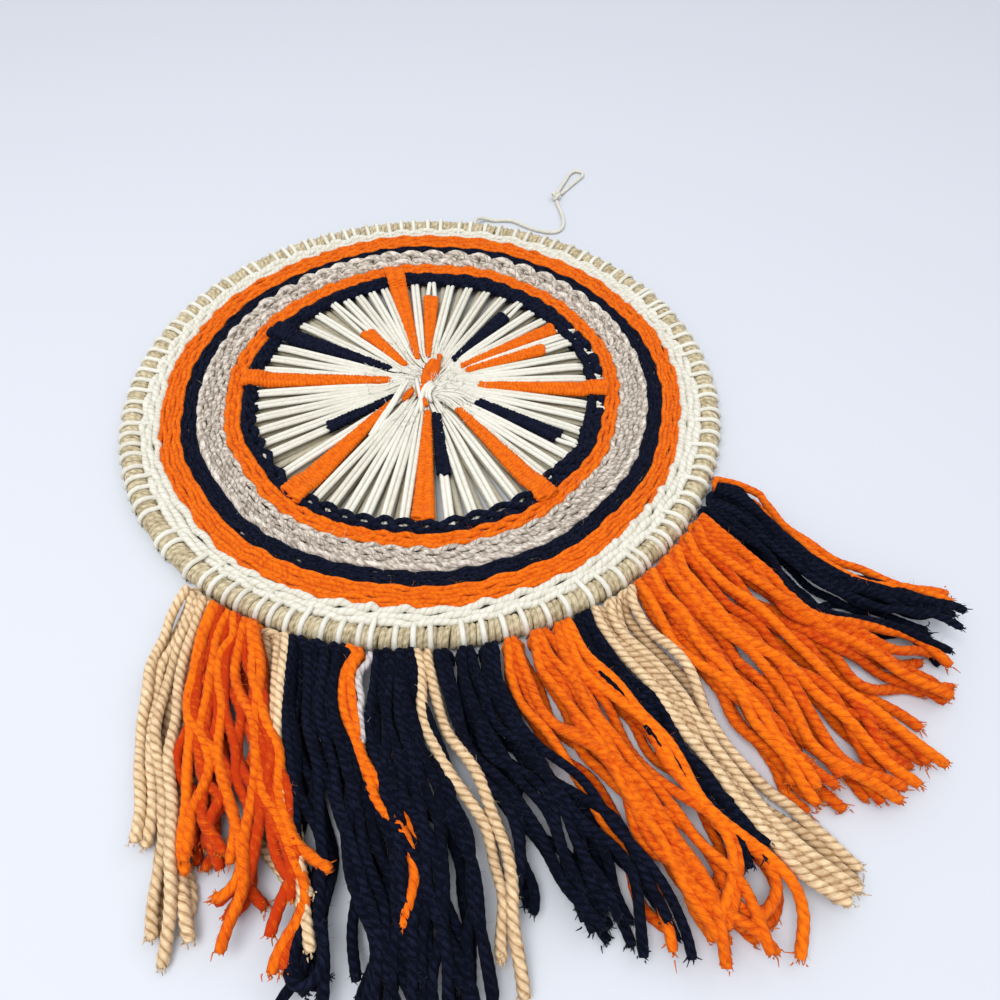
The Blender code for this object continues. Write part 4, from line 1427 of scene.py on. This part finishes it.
class HANGING_OT_spokes(Operator):
    """Needle-weaves the spokes: one yarn in figures of eight round a pair of warp threads"""

    bl_idname = "hanging.spokes"
    bl_label = "Spokes"

    def execute(self, context):
        thick = context.scene.hanging_sizes.spoke_yarn / 2 / MM
        for number, spoke in enumerate(SPOKES):
            skein = Skein()
            self.weave(skein, spoke, thick, number)
            skein.piece(context, spoke.name + "_yarn", spoke.yarn, spoke.name)
        return {"FINISHED"}

    def weave(self, skein, spoke, thick, seed):
        """One spoke. If it reaches the weaving, it climbs onto its innermost ring."""
        start = (spoke.x1, spoke.y1, SPOKE_HEIGHT + 0.2)
        end = (spoke.x2, spoke.y2, SPOKE_HEIGHT)
        grow = spoke.outer_width - spoke.inner_width
        length = np.hypot(spoke.x2 - spoke.x1, spoke.y2 - spoke.y1)
        beyond = np.hypot(spoke.x2, spoke.y2) - CLIMB_START

        def width(share):
            return spoke.inner_width + grow * share**0.9

        def rise(share):
            return 1.3 * np.clip((beyond - (1.0 - share) * length) / 4.0, 0.0, 1.0)

        needle_weave(skein, start, end, width, thick, 1.25, 0.8, seed, rise)


def upper_width(share):
    """The upper stitch is a long oval, a little wider at its far end."""
    return 6.7 * np.sin(pi * (0.10 + 0.80 * share)) ** 0.35 * (0.8 + 0.2 * share)


def lower_width(share):
    """The lower stitch is a slim oval."""
    return 2.7 * np.sin(pi * (0.2 + 0.6 * share)) ** 0.5


# The hub's two stitches: the ends of each one's needle weaving, its width, its seed, and the
# tails of yarn that leave it, by their radius and the places that they pass.
Stitch = namedtuple("Stitch", "name start end width seed tails")
STITCHES = (
    Stitch("hub_stitch_upper", (0.2, -1.4, 6.9), (2.8, 10.8, 6.9), upper_width, 41, (
        (0.85, ((3.4, 9.4, 7.3), (4.3, 11.4, 7.4), (4.2, 13.2, 7.0), (3.3, 13.6, 6.4))),
        (0.95, ((0.6, -1.4, 7.0), (-0.6, -3.4, 7.4), (-1.4, -6.2, 7.3), (-1.5, -7.6, 6.8))),
    )),
    Stitch("hub_stitch_lower", (-4.2, -4.9, 6.8), (-7.0, -9.6, 6.5), lower_width, 42, (
        (1.0, ((0.4, -9.2, 6.9), (0.8, -10.4, 7.0), (1.2, -12.0, 6.6))),
    )),
)


class HANGING_OT_hub(Operator):
    """Binds the hub with two orange stitches and their tails"""

    bl_idname = "hanging.hub"
    bl_label = "Hub stitches"

    def execute(self, context):
        thick = context.scene.hanging_sizes.spoke_yarn / 2 / MM * 0.85
        for stitch in STITCHES:
            skein = Skein()
            needle_weave(
                skein, stitch.start, stitch.end, stitch.width, thick, 1.1, 0.6, stitch.seed
            )
            for radius, points in stitch.tails:
                skein.lay(smooth_line(points), Yarn(radius, 2, 3.2, 0.15))
            skein.piece(context, stitch.name + "_yarn", "orange", stitch.name)
        return {"FINISHED"}


class HANGING_OT_fringe(Operator):
    """Knots the fringe on and lets its strands down, one on another"""

    bl_idname = "hanging.fringe"
    bl_label = "Fringe"

    def execute(self, context):
        self.rng = np.random.default_rng(8)
        self.radius = context.scene.hanging_sizes.fringe_yarn / 2 / MM
        strands, owners, ranks, shades = [], [], [], []
        for number, lock in enumerate(LOCKS):
            # The strands between the routes lie under them, and get painted shade.
            deep = UNDER_SHADE.get(lock.name, USUAL_UNDER_SHADE)
            for flat, between in self.lock_strands(lock):
                strands.append(flat)
                owners.append(number)
                shades.append(self.rng.uniform(-0.7, 0.5) + deep * between)
                ranks.append(lock.layer + self.rng.uniform(0.0, 1.2) - 1.3 * between)
        lying = self.let_down(strands, np.argsort(ranks))
        for number, lock in enumerate(LOCKS):
            skein = Skein()
            for line, owner, shade in zip(lying, owners, shades):
                if owner == number:
                    self.spin(skein, line, lock, shade)
            for knot in range(lock.knots):
                self.knot(skein, lock, knot)
            skein.piece(context, lock.name + "_strands", lock.yarn, lock.name)
        return {"FINISHED"}

    def knot_angle(self, lock, knot):
        """The direction of a knot: the knots of a lock are evenly spaced along it."""
        return lock.first + (knot + 0.5) * (lock.last - lock.first) / lock.knots

    def lock_strands(self, lock):
        """The strands of one lock, seen from above: its routes, then more between them."""
        routes = [even_points(smooth_line(route, 6), ROUTE_POINTS) for route in lock.routes]
        places = list(np.arange(len(routes), dtype=float))
        spare = lock.strands - len(routes)
        for index in range(spare):
            places.append((index + self.rng.uniform(0.2, 0.8)) * (len(routes) - 1) / max(spare, 1))
        for place in sorted(places):
            low = min(int(place), len(routes) - 1)
            high = min(low + 1, len(routes) - 1)
            share = np.linspace(0.0, 1.0, ROUTE_POINTS)[:, None]
            blend = place - low
            between = blend > 0
            # A strand between two routes may swap sides with its neighbour on the way.
            blend = np.clip(blend + between * self.rng.uniform(-0.5, 0.5) * share, -0.2, 1.2)
            flat = routes[low] * (1 - blend) + routes[high] * blend
            wander = smooth_line(self.rng.normal(0.0, 1.0, (8, 2)), 3)
            flat = flat + between * wander * np.clip(share * 2, 0.2, 1.0)
            start = self.strand_start(lock, place / max(len(routes) - 1, 1))
            flat = smooth_line(np.vstack([start, flat]), 6)
            yield self.wavy(flat, between, STRANDS[lock.yarn].loose), between

    def strand_start(self, lock, share):
        """Where a strand leaves its knot."""
        if not lock.knots:
            return np.array([KNOTLESS_START])
        place = min(share, 0.999) * lock.knots
        knot = int(place)
        angle = self.knot_angle(lock, knot)
        aside = sideways(angle)[:2] * (place - knot - 0.5) * 3.0
        return (polar(RIM_START, angle, 0.0)[:2] + aside)[None]

    def wavy(self, flat, between, looseness):
        """Gives a strand its own small waves, its curl at the end and its own length."""
        flat = even_points(flat, STRAND_POINTS)
        share = np.linspace(0.0, 1.0, STRAND_POINTS)
        ahead = unit(np.gradient(flat, axis=0))
        aside = np.stack([-ahead[:, 1], ahead[:, 0]], axis=1)
        sway = np.zeros(STRAND_POINTS)
        for waves, size in ((1.3, 0.9), (2.4, 0.7), (4.1, 0.35)):
            size = size * looseness * (1.5 if between else 1.0)
            wave = np.sin(2 * pi * (waves * share + self.rng.random()))
            sway += size * np.clip(share * 3, 0, 1) * wave
        curl = self.rng.normal(0.0, 3.0 if between else 1.8)
        curl = curl * np.clip((share - 0.82) / 0.18, 0.0, 1.0) ** 2
        flat = flat + aside * (sway + curl * looseness)[:, None]
        keep = self.rng.uniform(0.92, 1.0) if between else self.rng.uniform(0.98, 1.02)
        return even_points(flat[: max(4, int(STRAND_POINTS * min(keep, 1.0)))], STRAND_POINTS)

    def let_down(self, strands, order):
        """Lets each strand down in turn: it rests on the surface or on the strands below it."""
        reach = 2 * self.radius * PRESSED
        lying = [None] * len(strands)
        placed = np.zeros((0, 3))
        for index in order:
            flat = strands[index]
            along = distances(flat)
            rest = np.full(len(flat), self.radius * 0.95)
            if len(placed):
                apart = ((flat[:, None] - placed[None, :, :2]) ** 2).sum(-1)
                above = placed[None, :, 2] + np.sqrt(np.maximum(reach**2 - apart, 0.0))
                rest = np.maximum(rest, np.where(apart < reach**2, above, 0.0).max(1))
            rest = np.maximum(rest, KNOT_HEIGHT - KNOT_SLOPE * along)
            height = (rest[None] - STEEPEST * np.abs(along[:, None] - along[None])).max(1)
            pressed = PILE_HEIGHT + 0.5 * (height - PILE_HEIGHT)
            height = np.where(height > PILE_HEIGHT, pressed, height)
            for _ in range(3):
                padded = np.pad(height, 1, mode="edge")
                height = (padded[:-2] + 2 * padded[1:-1] + padded[2:]) / 4
            lying[index] = np.column_stack([flat, height])
            placed = np.vstack([placed, lying[index]])
        return lying

    def spin(self, skein, line, lock, shade):
        """A three-ply strand, with loose fibres along it and at its cut end."""
        kind = STRANDS[lock.yarn]
        radius = self.radius * kind.size * PLUMP.get(lock.name, 1.0)
        radius *= self.rng.uniform(0.94, 1.06)
        strand = Yarn(radius, 3, kind.twist, kind.groove, 2)
        laid = skein.lay(line, strand, girth=STRAND_GIRTH, shade=shade + kind.shaded)
        skein.fuzz(laid, radius, kind.fibres, self.rng, longest=1.6)
        ahead = unit(laid[-1] - laid[-4])
        for _ in range(12):
            aside = self.rng.normal(0.0, 1.0, 3)
            root = laid[-1] + aside * 0.42 * radius - ahead * 0.7
            skein.hair(root, ahead * 2.0 + aside * 0.5, self.rng, 1.25, 0.22, 0.3)

    def knot(self, skein, lock, knot):
        """The head of a lark's head knot: yarn folded over its strands, just outside the hoop."""
        angle = self.knot_angle(lock, knot)
        out = unit(polar(1.0, angle, 0.0))
        across = sideways(angle)
        middle = polar(RIM_START - 0.4, angle, 0.0)
        half = 1.9 * self.rng.uniform(0.9, 1.1)
        lean = self.rng.uniform(-0.3, 0.3)
        line = []
        for aside, away, height in (
            (-0.9, 2.0, 2.2),
            (-1.1, 0.9, 3.0),
            (-0.75, 0.1 + lean, 3.9),
            (0.0, -0.2, 4.2),
            (0.75, 0.1 - lean, 3.9),
            (1.1, 0.9, 3.0),
            (0.9, 2.0, 2.2),
        ):
            line.append(middle + across * aside * half + out * away + UP * height)
        yarn = Yarn(self.radius * 0.92, 3, 7.0, 0.14)
        laid = skein.lay(smooth_line(line, 4), yarn, up=out, shade=self.rng.uniform(-0.5, 0.5))
        skein.fuzz(laid, yarn.radius, 6, self.rng, longest=3.5, thick=0.045)


MAKERS = (
    HANGING_OT_stage,
    HANGING_OT_cord,
    HANGING_OT_wrap,
    HANGING_OT_warp,
    HANGING_OT_weaving,
    HANGING_OT_spokes,
    HANGING_OT_hub,
    HANGING_OT_fringe,
)


class HANGING_PT_makers(Panel):
    """Lists the makers and the settings in the 3D view's sidebar"""

    bl_idname = "HANGING_PT_makers"
    bl_label = "Hoop weaving"
    bl_space_type = "VIEW_3D"
    bl_region_type = "UI"
    bl_category = "Hoop weaving"

    def draw(self, context):
        for maker in MAKERS:
            self.layout.operator(maker.bl_idname)
        for group in (context.scene.hanging_sizes, context.scene.hanging_colours):
            for name in group.__annotations__:
                self.layout.prop(group, name)


CLASSES = (HangingColours, HangingSizes, *MAKERS, HANGING_PT_makers)


def register():
    for item in CLASSES:
        bpy.utils.register_class(item)
    bpy.types.Scene.hanging_colours = PointerProperty(type=HangingColours)
    bpy.types.Scene.hanging_sizes = PointerProperty(type=HangingSizes)


def unregister():
    del bpy.types.Scene.hanging_sizes
    del bpy.types.Scene.hanging_colours
    for item in reversed(CLASSES):
        bpy.utils.unregister_class(item)


def main():
    register()
    for maker in MAKERS:
        group, name = maker.bl_idname.split(".")
        getattr(getattr(bpy.ops, group), name)()
    looks_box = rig.bounds()
    sizes = {
        "cad": [list(corner) for corner in CAD_BOX],
        "looks": [list(corner) for corner in looks_box],
    }
    with open("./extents.json", "w") as out:
        json.dump(sizes, out)


if __name__ == "__main__":
    main()
